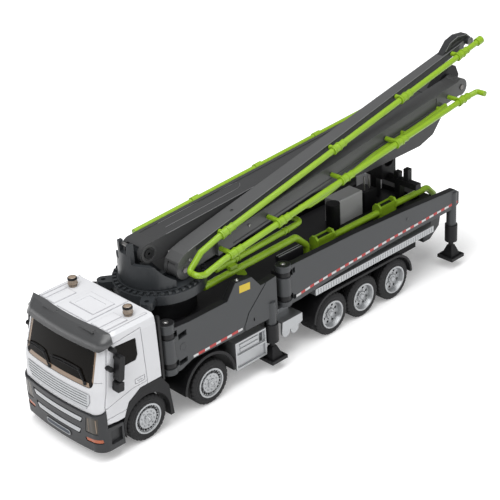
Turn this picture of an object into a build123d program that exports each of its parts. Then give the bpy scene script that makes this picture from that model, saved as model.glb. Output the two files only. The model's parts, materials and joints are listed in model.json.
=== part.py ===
from build123d import *
import os
from math import cos, radians, sin, tan

os.makedirs("parts", exist_ok=True)

# Die-cast model of a five-axle concrete pump truck, in millimetres.
# +X points forward, +Y to the truck's left, +Z up; the floor is at z = 0.
# Places along the truck are written as ahead(d) or behind(d), measured from the front axle.

# Whole vehicle
front_axle_x = 119.23
body_half_width = 31.0
running_gap = 0.3
hinge_gap = 0.1
skin_gap = 0.05

# Wheels and axles
tyre_radius = 12.3
sidewall_height = 4.1
wheel_inset = 0.4
single_tyre_width = 8.6
dual_tyre_width = 15.6
tyre_shoulder = 1.4
hub_radius = 2.6
axle_rod_radius = 1.5
arch_gap = 1.7
front_axle_setbacks = [0.0, 41.8]
rear_axle_setbacks = [131.7, 156.8, 182.9]
axle_z = tyre_radius
rim_radius = tyre_radius - sidewall_height
wheel_face_y = body_half_width - wheel_inset
arch_radius = tyre_radius + arch_gap

# Frame and deck
rail_width = 3.0
rail_clearance = 5.0
rail_drop = 3.3
rail_top_z = 20.0
frame_front = 24.0
frame_back = 225.8
deck_front_setback = 13.0
deck_back_setback = 224.0
side_bay = 8.0
core_clearance = 3.0
deck_headroom = 2.9
deck_top_z = 48.0
tray_front = 66.0
tray_depth = 3.0
tray_rim = 3.0
twin_inner_y = wheel_face_y - dual_tyre_width
rail_y = twin_inner_y - rail_clearance - rail_width / 2
rail_bottom_z = axle_z - rail_drop
deck_half_width = body_half_width - side_bay
deck_core_half_width = twin_inner_y - core_clearance
deck_bottom_z = axle_z + tyre_radius + deck_headroom
tray_z = deck_top_z - tray_depth

# Cab and bumper
cab_back_setback = 10.2
cab_roof_z = 66.9
cab_wall = 1.6
cab_floor_z = 31.0
cab_sill_z = 20.5
glass_thickness = 1.0
seam_width = 0.4
seam_depth = 0.4
bumper_nose = 31.8
bumper_bottom_z = 6.4
bumper_top_z = 27.0
bumper_wall = 2.4
bumper_swell = 0.2
lens_pocket = 1.3

# Slew ring, turret and boom
slew_setback = 39.0
ring_radius = 24.0
ring_bottom_z = 60.8
ring_top_z = 67.2
tooth_count = 40
tooth_circle_radius = 22.5
tooth_height = 1.3
ring_rim_width = 3.0
pedestal_radius = 18.0
spigot_radius = 6.0
spigot_depth = 5.0
ear_reach = 28.0
ear_angle = 37.0
ear_thickness = 4.0
ear_bore_radius = 1.25
turret_radius = 20.3
turret_wall = 2.6
turret_floor = 1.8
turret_shoulder_z = 80.0
turret_tower_z = 85.0
prong_top_z = 90.6
post_radius = 3.6
boom_nose_radius = 5.2
boom_pivot_setback = 28.9
boom_pivot_z = 83.3
boom_far_y = -8.5
boom_near_y = 6.0
boom_cheek = 2.6
fold_far_y = 7.0
fold_near_y = 17.0
front_fold_setback = 41.8
front_fold_z = 72.6
rear_fold_setback = 257.5
rear_fold_z = 102.6
fold_pin_radius = 1.4
fold_lobe_radius = 5.0
pipe_radius = 1.6
collar_radius = 2.2
collar_length = 5.0
peg_radius = 1.3
near_pipe_y = 20.6
outer_pipe_y = 26.0
far_pipe_y = -10.8

# Outriggers
panel_thickness = 4.0
hinge_inset = 2.8
arm_hinge_setback = 18.0
beam_hinge_setback = 98.0
hinge_pin_radius = 1.5
barrel_radius = 4.0
jack_rod_radius = 2.9
sleeve_radius = 3.7
foot_size = 11.1
foot_bottom_z = 5.4
hinge_y = body_half_width - hinge_inset


def ahead(distance):
    return front_axle_x + distance


def behind(distance):
    return front_axle_x - distance


def side(y):
    """A drawing plane facing left at the given y; extrude goes towards -Y."""
    return Plane(origin=(0, y, 0), x_dir=(1, 0, 0), z_dir=(0, -1, 0))


def profile(points):
    """Outline from (ahead of the front axle, z) pairs."""
    return [(ahead(x), z) for x, z in points]


def save(part, label):
    part.label = label
    export_step(part, f"parts/{label}.step")


outside_y = body_half_width + 10.0


def side_prism(outline, radius=0.0, shrink=0.0):
    """A bar right across the truck with the given side outline."""
    with BuildPart() as prism:
        with BuildSketch(side(outside_y)) as face:
            with BuildLine():
                Polyline(outline, close=True)
            make_face()
            if radius:
                fillet(face.vertices(), radius)
            if shrink:
                offset(amount=-shrink)
        extrude(amount=2 * outside_y)
    return prism.part


def front_prism(outline, start, radius=0.0, shrink=0.0):
    """A bar running forward from a place on the truck with the given (y, z) outline."""
    with BuildPart() as prism:
        with BuildSketch(Plane.YZ.offset(ahead(start))) as face:
            with BuildLine():
                Polyline(outline, close=True)
            make_face()
            if radius:
                fillet(face.vertices(), radius)
            if shrink:
                offset(amount=-shrink)
        extrude(amount=40.0)
    return prism.part


def skin(form, outer_inset, inner_inset, window):
    """The stretch of a form's skin, between two insets, that lies within a window."""
    with BuildPart() as piece:
        add(form(outer_inset))
        add(form(inner_inset), mode=Mode.SUBTRACT)
        add(window, mode=Mode.INTERSECT)
    return piece.part


# Tyres and rims: both wheels of an axle turn together on one rod
def ring_of(section):
    """A wheel piece turned from (radius, y) pairs, its outer face towards +Y."""
    with BuildPart() as turned:
        with BuildSketch(Plane.XZ):
            with BuildLine():
                Polyline(section, close=True)
            make_face()
        revolve(axis=Axis.Z)
    return turned.part


def make_axle(number, setback, tyre_width, dual):
    centre = Location((behind(setback), 0, axle_z))
    inner_y = wheel_face_y - tyre_width
    shoulder_radius = tyre_radius - 0.55 * sidewall_height
    crown = [(tyre_radius, wheel_face_y - tyre_shoulder), (tyre_radius, inner_y + tyre_shoulder)]
    if dual:
        split_y = (wheel_face_y + inner_y) / 2
        crown[1:1] = [(tyre_radius, split_y + 0.9), (shoulder_radius, split_y), (tyre_radius, split_y - 0.9)]
    tyre = ring_of(
        [(rim_radius, wheel_face_y), (shoulder_radius, wheel_face_y)]
        + crown
        + [(shoulder_radius, inner_y), (rim_radius, inner_y)]
    )
    with BuildPart() as tyres:
        add(tyre.rotate(Axis.X, -90).moved(centre))
        mirror(about=Plane.XZ)
    save(tyres.part, f"tyres_{number}")

    seat_radius = rim_radius - hinge_gap
    lip_radius = seat_radius - 0.9
    if dual:
        # Deep dish: the disc lies well behind the lip, with a drum-shaped hub in front of it
        dish_radius = seat_radius - 2.5
        face = [(dish_radius, -4.2), (hub_radius + 0.2, -4.2), (hub_radius, -1.6), (1.5, -1.4), (1.3, -0.8), (0, -0.8)]
        hole_circle = (dish_radius + hub_radius) / 2
        hole_radius = 0.8
        hole_count = 8
    else:
        # Shallow disc: a raised plate and a hub cap inside a ring of slots
        plate_radius = seat_radius - 2.8
        face = [(seat_radius - 1.2, -0.6), (plate_radius + 0.3, -1.0), (plate_radius, -0.1), (hub_radius, 0.1),
                (hub_radius - 0.2, 0.8), (0.9, 0.9), (0.7, 1.3), (0, 1.3)]
        hole_circle = (seat_radius - 1.2 + plate_radius + 0.3) / 2
        hole_radius = 0.6
        hole_count = 12
    disc = ring_of(
        [(0, inner_y), (seat_radius, inner_y), (seat_radius, wheel_face_y + 0.2), (lip_radius, wheel_face_y + 0.2)]
        + [(radius, wheel_face_y + depth) for radius, depth in face]
    )
    with BuildPart() as drilled:
        add(disc)
        with BuildSketch(Plane.XY.offset(wheel_face_y - 5.6)):
            with PolarLocations(hole_circle, hole_count):
                Circle(hole_radius)
        extrude(amount=8.0, mode=Mode.SUBTRACT)
    with BuildPart() as rims:
        add(drilled.part.rotate(Axis.X, -90).moved(centre))
        mirror(about=Plane.XZ)
        with Locations(centre):
            Cylinder(axle_rod_radius, 2 * (wheel_face_y - 6.0), rotation=(90, 0, 0))
    save(rims.part, f"rims_{number}")


for index, setback in enumerate(front_axle_setbacks):
    make_axle(index + 1, setback, single_tyre_width, dual=False)
for index, setback in enumerate(rear_axle_setbacks):
    make_axle(index + 3, setback, dual_tyre_width, dual=True)

# Chassis frame: two rails with cross members, bored for the axle rods
cross_member_setbacks = [-20.0, 20.0, 66.0, 112.0, 144.0, 170.0, 205.0, 222.0]
cross_member_width = 5.0
with BuildPart() as chassis_frame:
    frame_middle = (ahead(frame_front) + behind(frame_back)) / 2
    rail_middle_z = (rail_bottom_z + rail_top_z) / 2
    rail_height = rail_top_z - rail_bottom_z
    with Locations((frame_middle, rail_y, rail_middle_z), (frame_middle, -rail_y, rail_middle_z)):
        Box(frame_front + frame_back, rail_width, rail_height)
    for setback in cross_member_setbacks:
        with Locations((behind(setback), 0, rail_middle_z)):
            Box(cross_member_width, 2 * rail_y, rail_height - 2.0)
    for setback in front_axle_setbacks + rear_axle_setbacks:
        with Locations((behind(setback), 0, axle_z)):
            Cylinder(axle_rod_radius + hinge_gap, 4 * rail_y, rotation=(90, 0, 0), mode=Mode.SUBTRACT)
save(chassis_frame.part, "chassis_frame")

# Deck: a wide upper body over a narrow core that stands on the rails
with BuildPart() as deck:
    deck_length = deck_back_setback - deck_front_setback
    deck_middle = behind((deck_front_setback + deck_back_setback) / 2)
    with Locations((deck_middle, 0, (deck_bottom_z + deck_top_z) / 2)):
        Box(deck_length, 2 * deck_half_width, deck_top_z - deck_bottom_z)
    with Locations((deck_middle, 0, (rail_top_z + deck_bottom_z) / 2)):
        Box(deck_length - 12.0, 2 * deck_core_half_width, deck_bottom_z - rail_top_z)
    tray_length = deck_back_setback - tray_front - 2 * tray_rim
    with Locations((behind(tray_front + tray_length / 2), 0, deck_top_z)):
        Box(tray_length, 2 * (deck_half_width - tray_rim), 2 * tray_depth, mode=Mode.SUBTRACT)
save(deck.part, "deck")

# Slew ring pedestal
slew_x = behind(slew_setback)
with BuildPart() as slew_pedestal:
    with BuildSketch(Plane.XY.offset(deck_top_z)):
        with Locations((slew_x, 0)):
            Circle(pedestal_radius)
    extrude(amount=ring_bottom_z - deck_top_z)
save(slew_pedestal.part, "slew_pedestal")

# Slew ring: a drum with two drilled ears and a ring of pin teeth in its lowered rim
with BuildPart() as slew_ring:
    with BuildSketch(Plane.XY.offset(ring_bottom_z)):
        with Locations((slew_x, 0)):
            Circle(ring_radius)
    extrude(amount=ring_top_z - ring_bottom_z)
    ear_places = []
    for angle in (ear_angle, -ear_angle):
        ear_places.append((slew_x + ear_reach * cos(radians(angle)), ear_reach * sin(radians(angle)), angle))
    ear_bottom_z = ring_top_z - tooth_height - ear_thickness
    with BuildSketch(Plane.XY.offset(ear_bottom_z)):
        for ear_x, ear_y, angle in ear_places:
            with Locations((ear_x, ear_y)):
                Circle(3.4)
            with Locations(Location((ear_x, ear_y, 0), (0, 0, angle))):
                with Locations((-4.0, 0)):
                    Rectangle(8.0, 6.8)
    extrude(amount=ear_thickness)
    with BuildSketch(Plane.XY.offset(ring_bottom_z)):
        for ear_x, ear_y, angle in ear_places:
            with Locations((ear_x, ear_y)):
                Circle(ear_bore_radius)
        with Locations((slew_x, 0)):
            Circle(spigot_radius + hinge_gap)
    extrude(amount=ring_top_z - ring_bottom_z, mode=Mode.SUBTRACT)
    with BuildSketch(Plane.XY.offset(ring_top_z)):
        with Locations((slew_x, 0)):
            Circle(ring_radius)
            Circle(ring_radius - ring_rim_width, mode=Mode.SUBTRACT)
    extrude(amount=-tooth_height, mode=Mode.SUBTRACT)
    with BuildSketch(Plane.XY.offset(ring_top_z)):
        with Locations((slew_x, 0)):
            with PolarLocations(tooth_circle_radius, tooth_count):
                Rectangle(1.9, 1.6)
    extrude(amount=-tooth_height - 0.4)
save(slew_ring.part, "slew_ring")


# Cab: lofted between plan outlines with a bowed front and rounded corners
# columns: height z, front of the bow ahead of the axle, how far the sides lean in
cab_levels = [
    (cab_sill_z, 31.2, 0.0),
    (40.0, 29.6, 0.0),
    (62.0, 23.0, 0.8),
    (cab_roof_z - 1.4, 20.8, 1.4),
    (cab_roof_z, 19.0, 3.0),
]
corner_length = 8.0
corner_bulge = 3.4
corner_width = 6.5
bow_depth = 1.6


def bowed_plan(nose, half, back):
    """Plan outline with a bowed front edge and rounded front corners."""
    corner_x = nose - corner_length
    bow_x = nose - bow_depth
    bow_y = half - corner_width
    with BuildSketch() as plan:
        with BuildLine():
            Line((back, -half), (corner_x, -half))
            ThreePointArc((corner_x, -half), (nose - corner_bulge, 1.9 - half), (bow_x, -bow_y))
            ThreePointArc((bow_x, -bow_y), (nose, 0), (bow_x, bow_y))
            ThreePointArc((bow_x, bow_y), (nose - corner_bulge, half - 1.9), (corner_x, half))
            Line((corner_x, half), (back, half))
            Line((back, half), (back, -half))
        make_face()
    return plan.sketch


def cab_form(inset):
    """The cab's outer form from the sill to the roof, drawn in by an inset on its walls and roof."""
    with BuildPart() as block:
        for z, front, lean in cab_levels:
            with BuildSketch(Plane.XY.offset(z)):
                half_width = body_half_width - lean - inset
                add(bowed_plan(ahead(front - inset), half_width, behind(cab_back_setback - inset)))
        loft(ruled=True)
        with Locations((ahead(10.0), 0, cab_roof_z - max(inset, 0.0) + 50.0)):
            Box(200.0, 100.0, 100.0, mode=Mode.SUBTRACT)
    return block.part


screen_half_width = body_half_width - 4.5
screen_outline = [
    (-screen_half_width, 40.5), (screen_half_width, 40.5),
    (screen_half_width - 0.9, 61.0), (0.9 - screen_half_width, 61.0),
]
screen_corner = 3.5
door_window = profile([(15.4, 60.4), (2.3, 59.6), (2.3, 50.0), (3.8, 47.8), (10.6, 47.8), (16.6, 55.0)])
door_outline = profile([(24.9, 24.0), (24.8, 31.6), (19.0, 61.9), (-1.3, 63.6), (-1.7, 32.9), (-1.7, 24.0)])
handle_outline = profile([(5.9, 38.1), (-0.3, 38.1), (-0.3, 35.2), (5.9, 35.2)])
grip_outline = profile([(4.3, 37.0), (1.2, 37.0), (1.2, 36.3), (4.3, 36.3)])
crease_outline = profile([(24.6, 30.2), (7.7, 34.1), (-1.5, 34.1), (-1.5, 33.8), (7.7, 33.8), (24.6, 29.8)])

# Line over the front wheel arch, from the cab's back to the bumper: places and heights from the wheel
arch_line = [
    (-arch_radius + 4.2, axle_z + 19.6), (3.0, axle_z + 19.6), (arch_radius - 3.3, axle_z + 15.0),
    (arch_radius + 0.3, axle_z + 7.3),
]
bumper_back = arch_radius + 1.4
door_foot = 24.4
bumper_corner = [(door_foot, 29.6), (door_foot + 2.0, 28.2), (door_foot + 5.2, bumper_top_z)]
below_cab = [(-60.0, 0.0), (-60.0, arch_line[0][1] + running_gap)]
below_cab += [(x + 0.2, z + running_gap) for x, z in arch_line[1:]]
below_cab += [(door_foot, cab_sill_z + 1.0)] + bumper_corner + [(80.0, bumper_top_z), (80.0, 0.0)]

# Raised panels on the roof: front, back, nearer and further y, rise
roof_hatch = [(15.8, -9.4, -11.5, 11.5, 0.35), (10.0, -3.0, -9.0, 9.0, 0.65)]
# Roof ribs on each side: front, back, distance of the inner and outer edge from the body's side, rise
roof_ribs = [(15.4, 2.2, 16.4, 10.6, 0.3), (15.2, 2.2, 8.8, 6.2, 0.3), (15.0, -8.0, 5.2, 4.0, 0.25)]
roof_panels = list(roof_hatch)
for front, back, inner, outer, rise in roof_ribs:
    roof_panels.append((front, back, body_half_width - inner, body_half_width - outer, rise))
    roof_panels.append((front, back, outer - body_half_width, inner - body_half_width, rise))

with BuildPart() as cab_shell:
    add(cab_form(0.0))
    add(cab_form(cab_wall), mode=Mode.SUBTRACT)
    with Locations((ahead(0.0), 0, cab_sill_z)):
        Box(2 * cab_back_setback - 2 * cab_wall, 2 * (body_half_width - cab_wall), 4.0, mode=Mode.SUBTRACT)
    add(side_prism(profile(below_cab)), mode=Mode.SUBTRACT)
    add(front_prism(screen_outline, 10.0, screen_corner), mode=Mode.SUBTRACT)
    add(side_prism(door_window, 1.0), mode=Mode.SUBTRACT)
    for front, back, near, far, rise in roof_panels:
        with BuildSketch(Plane.XY.offset(cab_roof_z - 0.2)):
            with Locations(((ahead(front) + ahead(back)) / 2, (near + far) / 2)):
                RectangleRounded(front - back, far - near, 0.5)
        extrude(amount=rise + 0.2)
    with BuildSketch(Plane.XY.offset(cab_roof_z + 1.0)):
        with Locations((ahead(4.4), 0)):
            RectangleRounded(9.0, 13.2, 0.8)
    extrude(amount=-0.6, mode=Mode.SUBTRACT)
    for outline, width in ((door_outline, seam_width), (handle_outline, 0.3)):
        ring = side_prism(outline) - side_prism(outline, 0.0, width)
        add(ring - cab_form(seam_depth), mode=Mode.SUBTRACT)
    for outline in (grip_outline, crease_outline):
        add(side_prism(outline) - cab_form(0.3), mode=Mode.SUBTRACT)
    corner_seam = side_prism(profile([(24.0, 44.0), (24.0, 44.4), (40.0, 44.4), (40.0, 44.0)]))
    for y in (body_half_width, -body_half_width):
        with BuildPart(mode=Mode.PRIVATE) as corner:
            with Locations((ahead(28.0), y, 44.2)):
                Box(20.0, 8.6, 4.0)
        add((corner.part & corner_seam) - cab_form(0.3), mode=Mode.SUBTRACT)
save(cab_shell.part, "cab_shell")

# Smoked glass, set into the windscreen and door openings
with BuildPart() as windscreen:
    add(skin(cab_form, 0.3, 0.3 + glass_thickness, front_prism(screen_outline, 10.0, screen_corner, skin_gap)))
save(windscreen.part, "windscreen")

with BuildPart() as door_glass:
    add(skin(cab_form, 0.4, 0.4 + glass_thickness, side_prism(door_window, 1.0, skin_gap)))
save(door_glass.part, "door_glass")

# Cab floor with a dashboard
room_half_width = body_half_width - cab_wall - 0.5
with BuildPart() as cab_floor:
    with Locations((ahead(5.0), 0, cab_floor_z + 2.2)):
        Box(27.0, 2 * room_half_width, 2.0)
    with BuildSketch(side(room_half_width - 4.0)):
        with BuildLine():
            Polyline(profile([(17.0, cab_floor_z + 3.2), (17.0, 40.0), (20.5, 41.5), (24.5, 40.2),
                              (25.0, cab_floor_z + 3.2)]), close=True)
        make_face()
    extrude(amount=2 * (room_half_width - 4.0))
save(cab_floor.part, "cab_floor")

with BuildPart() as seats:
    with BuildSketch(side(21.5)) as seat_side:
        with BuildLine():
            Polyline(
                profile([(9.5, cab_floor_z + 3.2), (9.5, 40.5), (8.0, 41.6), (-3.6, 41.0), (-4.6, 54.0), (-7.4, 54.0),
                         (-6.6, 38.0), (-1.5, 37.4), (-1.5, cab_floor_z + 3.2)]),
                close=True,
            )
        make_face()
    extrude(amount=13.0)
    mirror(about=Plane.XZ)
save(seats.part, "seats")


# Bumper: a bowed wall wrapped round the front, with pockets for its lenses, bars and steps
def bumper_form(inset):
    with BuildPart() as block:
        with BuildSketch(Plane.XY.offset(bumper_bottom_z)):
            half_width = body_half_width + bumper_swell - inset
            add(bowed_plan(ahead(bumper_nose - inset), half_width, ahead(bumper_back)))
        extrude(amount=bumper_corner[0][1] - running_gap - bumper_bottom_z)
    return block.part


bar_taper = 1.6
# columns: height of the middle, half width
bar_places = [(22.4, body_half_width - 10.8), (15.4, body_half_width - 12.6)]
bar_pocket_height = 3.8
bar_height = 2.6
bar_drop = 0.3


def bar_outline(middle_z, half_width, height):
    return [
        (-half_width, middle_z + height / 2), (half_width, middle_z + height / 2),
        (half_width - bar_taper, middle_z - height / 2), (bar_taper - half_width, middle_z - height / 2),
    ]


lamp_inner_y = body_half_width - 10.2
lamp_outer_y = body_half_width - 1.8
lamp_outline = [(lamp_inner_y + 1.4, 25.2), (lamp_outer_y, 25.8), (lamp_outer_y - 0.6, 16.6), (lamp_inner_y, 16.2)]
indicator_outline = [(lamp_inner_y - 0.8, 13.2), (lamp_outer_y + 1.0, 14.0), (lamp_outer_y + 1.0, 11.4), (lamp_inner_y, 11.0)]
plate_outline = [(-10.0, 8.6), (10.0, 8.6), (10.0, 12.2), (-10.0, 12.2)]
plate_rise = 0.3
lens_start = 25.8
step_outline = profile([(door_foot - 1.0, 17.4), (bumper_back + 1.2, 17.0), (bumper_back + 1.2, 9.4), (door_foot - 1.0, 9.4)])


def mirrored(outline):
    return [(-y, z) for y, z in outline]


with BuildPart() as bumper:
    add(bumper_form(0.0))
    with BuildSketch(Plane.XY.offset(bumper_bottom_z - 1.0)):
        inner_half_width = body_half_width + bumper_swell - bumper_wall
        add(bowed_plan(ahead(bumper_nose - bumper_wall), inner_half_width, ahead(bumper_back - 5.0)))
    extrude(amount=40.0, mode=Mode.SUBTRACT)
    above_bumper = [(80.0, 80.0), (bumper_back - 5.0, 80.0), (bumper_back - 5.0, 18.6), (bumper_back, 18.6)]
    above_bumper += [(door_foot + 0.2, 19.4), (door_foot + 0.2, bumper_corner[0][1] - 0.3)]
    above_bumper += [(bumper_corner[1][0], bumper_corner[1][1] - 0.2), (bumper_corner[2][0], bumper_top_z - 0.2)]
    above_bumper += [(80.0, bumper_top_z - 0.2)]
    add(side_prism(profile(above_bumper)), mode=Mode.SUBTRACT)
    for z, half_width in bar_places:
        pocket = front_prism(bar_outline(z, half_width, bar_pocket_height), 10.0, 0.6)
        add(pocket - bumper_form(lens_pocket), mode=Mode.SUBTRACT)
    for outline in (lamp_outline, indicator_outline):
        for face in (outline, mirrored(outline)):
            add(front_prism(face, lens_start, 0.6) - bumper_form(lens_pocket), mode=Mode.SUBTRACT)
    add(side_prism(step_outline) - bumper_form(1.6), mode=Mode.SUBTRACT)
    add(skin(bumper_form, -plate_rise, plate_rise, front_prism(plate_outline, 20.0, 1.7)))
save(bumper.part, "bumper")

with BuildPart() as headlamps:
    for face in (lamp_outline, mirrored(lamp_outline)):
        add(skin(bumper_form, 0.2, lens_pocket - skin_gap, front_prism(face, lens_start, 0.6, 0.15)))
save(headlamps.part, "headlamps")

with BuildPart() as indicators:
    for face in (indicator_outline, mirrored(indicator_outline)):
        add(skin(bumper_form, 0.3, lens_pocket - skin_gap, front_prism(face, lens_start, 0.6, 0.3)))
save(indicators.part, "indicators")

# Grille: a ribbed panel on the cab's nose and two bright bars in the bumper's pockets
grille_half_width = body_half_width - 6.4
grille_top_z = 37.6
grille_bottom_z = 29.2
grille_outline = [
    (-grille_half_width, grille_top_z), (grille_half_width, grille_top_z),
    (grille_half_width, grille_top_z - 4.4), (grille_half_width - 2.6, grille_bottom_z),
    (4.6 - grille_half_width, grille_bottom_z), (-grille_half_width, grille_top_z - 3.4),
]
groove_count = 5
groove_height = 0.45
with BuildPart() as grille:
    add(skin(cab_form, -0.45, -skin_gap, front_prism(grille_outline, 20.0, 0.9)))
    groove_pitch = (grille_top_z - grille_bottom_z) / (groove_count + 1)
    for index in range(groove_count):
        z = grille_bottom_z + (index + 1) * groove_pitch
        groove = [(-grille_half_width + 1.6, z), (grille_half_width - 1.6, z),
                  (grille_half_width - 1.6, z + groove_height), (-grille_half_width + 1.6, z + groove_height)]
        add(front_prism(groove, 20.0) - cab_form(-0.2), mode=Mode.SUBTRACT)
    for z, half_width in bar_places:
        bar = front_prism(bar_outline(z - bar_drop, half_width - 0.8, bar_height), 10.0, 0.5)
        add(skin(bumper_form, 0.1, lens_pocket - skin_gap, bar))
save(grille.part, "grille")

# Front wheel arches with mudflaps, and a slim upright strip behind each cab corner
fender_depth = 9.5
fender_foot_z = 7.4
strip_front = -11.0
strip_thickness = 1.4
strip_top_z = 65.0
with BuildPart() as front_fenders:
    with BuildSketch(side(body_half_width)):
        with BuildLine():
            Polyline(
                profile([(-arch_radius - 2.4, fender_foot_z), (-arch_radius - 0.4, axle_z + 12.7)] + arch_line
                        + [(arch_radius + 1.0, axle_z + 5.7), (arch_radius + 1.0, 9.6),
                           (arch_radius - 0.8, fender_foot_z)]),
                close=True,
            )
        make_face()
        with Locations((front_axle_x, axle_z)):
            Circle(arch_radius, mode=Mode.SUBTRACT)
        with Locations((front_axle_x, axle_z - arch_radius)):
            Rectangle(2 * arch_radius, 2 * arch_radius, mode=Mode.SUBTRACT)
    extrude(amount=fender_depth)
    strip_foot_z = axle_z + 17.0
    with Locations((ahead(strip_front - strip_thickness / 2), body_half_width - 0.8, (strip_foot_z + strip_top_z) / 2)):
        Box(strip_thickness, 1.6, strip_top_z - strip_foot_z)
    mirror(about=Plane.XZ)
save(front_fenders.part, "front_fenders")

# Arches over the second wheels, carried by the deck's core
with BuildPart() as second_fenders:
    second_x = behind(front_axle_setbacks[1])
    second_arch_radius = tyre_radius + 5.0
    second_arch_wall = 1.6
    with BuildSketch(side(body_half_width - 0.4)):
        with Locations((second_x, axle_z)):
            Circle(second_arch_radius)
            Circle(second_arch_radius - second_arch_wall, mode=Mode.SUBTRACT)
        with Locations((second_x, axle_z - second_arch_radius)):
            Rectangle(3 * second_arch_radius, 2 * second_arch_radius, mode=Mode.SUBTRACT)
    extrude(amount=body_half_width - 0.4 - deck_core_half_width)
    with Locations((second_x, 0, (deck_bottom_z + deck_top_z) / 2)):
        Box(60.0, 2 * (deck_half_width + hinge_gap), deck_top_z - deck_bottom_z + 2 * hinge_gap, mode=Mode.SUBTRACT)
    mirror(about=Plane.XZ)
save(second_fenders.part, "second_fenders")

# One long arch over the three rear wheels
with BuildPart() as rear_fenders:
    first_x = behind(rear_axle_setbacks[0])
    last_x = behind(rear_axle_setbacks[2])
    axle_span = first_x - last_x
    rear_arch_radius = axle_z + deck_headroom - running_gap
    rear_arch_wall = 1.4
    with BuildSketch(side(body_half_width)):
        for wall, mode in ((0.0, Mode.ADD), (rear_arch_wall, Mode.SUBTRACT)):
            with Locations(((first_x + last_x) / 2, axle_z)):
                SlotCenterToCenter(axle_span, 2 * (rear_arch_radius - wall), mode=mode)
        with Locations(((first_x + last_x) / 2, axle_z - rear_arch_radius)):
            Rectangle(axle_span + 4 * rear_arch_radius, 2 * rear_arch_radius, mode=Mode.SUBTRACT)
    extrude(amount=body_half_width - deck_core_half_width)
    mirror(about=Plane.XZ)
save(rear_fenders.part, "rear_fenders")

# Bright ribbed strips along both sides over the rear wheels, on the deck's flanks
strip_middle_setback = 168.0
strip_length = 98.0
strip_height = 3.8
strip_rise = 2.1
strip_rib_pitch = 2.0
with BuildPart() as side_strips:
    strip_outer_y = body_half_width - 0.2
    strip_middle_z = deck_bottom_z + strip_rise + strip_height / 2
    with Locations((behind(strip_middle_setback), (deck_half_width + strip_outer_y) / 2, strip_middle_z)):
        Box(strip_length, strip_outer_y - deck_half_width, strip_height)
    rib_count = int(strip_length / strip_rib_pitch) - 1
    with Locations((behind(strip_middle_setback), strip_outer_y, strip_middle_z)):
        with GridLocations(strip_rib_pitch, 1.0, rib_count, 1):
            Box(0.5, 0.5, strip_height - 1.0, mode=Mode.SUBTRACT)
    mirror(about=Plane.XZ)
save(side_strips.part, "side_strips")

# Bright brackets behind the front jacks: a flanged plate with two round lobes, hung from the deck
bracket_front_setback = 94.6
bracket_back_setback = 109.4
bracket_top_z = 23.3
lobe_radius = 2.9
with BuildPart() as side_brackets:
    plate_y = body_half_width - 1.4
    with BuildSketch(side(plate_y)):
        with BuildLine():
            Polyline(
                profile([(-bracket_front_setback, bracket_top_z), (-bracket_back_setback, bracket_top_z),
                         (-bracket_back_setback, 18.4), (-106.8, 17.4), (-bracket_front_setback + 0.6, 17.0)]),
                close=True,
            )
        make_face()
        with Locations((behind(103.4), 16.4), (behind(97.0), 16.8)):
            Circle(lobe_radius)
    extrude(amount=1.2)
    flange_x = behind((bracket_front_setback + bracket_back_setback) / 2)
    flange_length = bracket_back_setback - bracket_front_setback
    flange_depth = plate_y - deck_half_width + 4.0
    with Locations((flange_x, plate_y - flange_depth / 2, bracket_top_z - 0.5)):
        Box(flange_length, flange_depth, 1.0)
    with Locations((flange_x, deck_half_width - 3.0, (bracket_top_z + deck_bottom_z) / 2)):
        Box(flange_length - 4.0, 2.0, deck_bottom_z - bracket_top_z)
    mirror(about=Plane.XZ)
save(side_brackets.part, "side_brackets")

# Toolboxes with two stacked ribbed panels, between the second wheels and the front jacks
toolbox_front = 60.2
toolbox_back = 82.0
toolbox_bottom_z = 10.2
toolbox_depth = 16.0
toolbox_frame = 1.0
panel_recess = 0.9
with BuildPart() as toolboxes:
    toolbox_top_z = deck_bottom_z - 1.1
    toolbox_face_y = body_half_width - 1.0
    toolbox_length = toolbox_back - toolbox_front
    toolbox_x = behind((toolbox_front + toolbox_back) / 2)
    toolbox_middle_z = (toolbox_top_z + toolbox_bottom_z) / 2
    with Locations((toolbox_x, toolbox_face_y - toolbox_depth / 2, toolbox_middle_z)):
        Box(toolbox_length, toolbox_depth, toolbox_top_z - toolbox_bottom_z)
    panel_height = (toolbox_top_z - toolbox_bottom_z - 3 * toolbox_frame) / 2
    for step in (-1, 1):
        panel_z = toolbox_middle_z + step * (panel_height + toolbox_frame) / 2
        with Locations((toolbox_x, toolbox_face_y, panel_z)):
            Box(toolbox_length - 2 * toolbox_frame, 2 * panel_recess, panel_height, mode=Mode.SUBTRACT)
    upper_z = toolbox_middle_z + (panel_height + toolbox_frame) / 2
    for z in (upper_z + 1.3, upper_z - 1.3):
        with Locations((behind(70.4), toolbox_face_y - panel_recess, z)):
            Box(13.0, 0.8, 1.6)
    with Locations((behind(toolbox_back - 3.2), toolbox_face_y - panel_recess, upper_z)):
        Box(2.4, 4.0, panel_height - 1.0, mode=Mode.SUBTRACT)
    mirror(about=Plane.XZ)
save(toolboxes.part, "toolboxes")

# Boom rest: two posts, a crossbar and two prongs behind the middle axle
rest_setback = 209.0
rest_bar_z = 59.5
rest_bar_height = 3.4
rest_bar_width = 4.4
rest_top_z = 69.0
with BuildPart() as boom_rest:
    for y, width in ((-6.0, 4.0), (12.0, 4.0)):
        with Locations((behind(rest_setback), y, (tray_z + rest_bar_z) / 2)):
            Box(width, width, rest_bar_z - tray_z)
    with Locations((behind(rest_setback), 7.0, rest_bar_z)):
        Box(rest_bar_width, 38.0, rest_bar_height)
    # columns: y, length along the truck, width across, top
    for y, length, width, top in ((0.0, 12.0, 8.0, rest_top_z), (11.0, 3.4, 3.4, 65.1), (18.0, 3.4, 3.4, 68.6)):
        with Locations((behind(rest_setback), y, (rest_bar_z + top) / 2)):
            Box(length, width, top - rest_bar_z)
    with BuildSketch(side(8.0)):
        with Locations((behind(rest_setback), rest_top_z + 1.0)):
            Circle(4.0)
    extrude(amount=16.0, mode=Mode.SUBTRACT)
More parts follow.
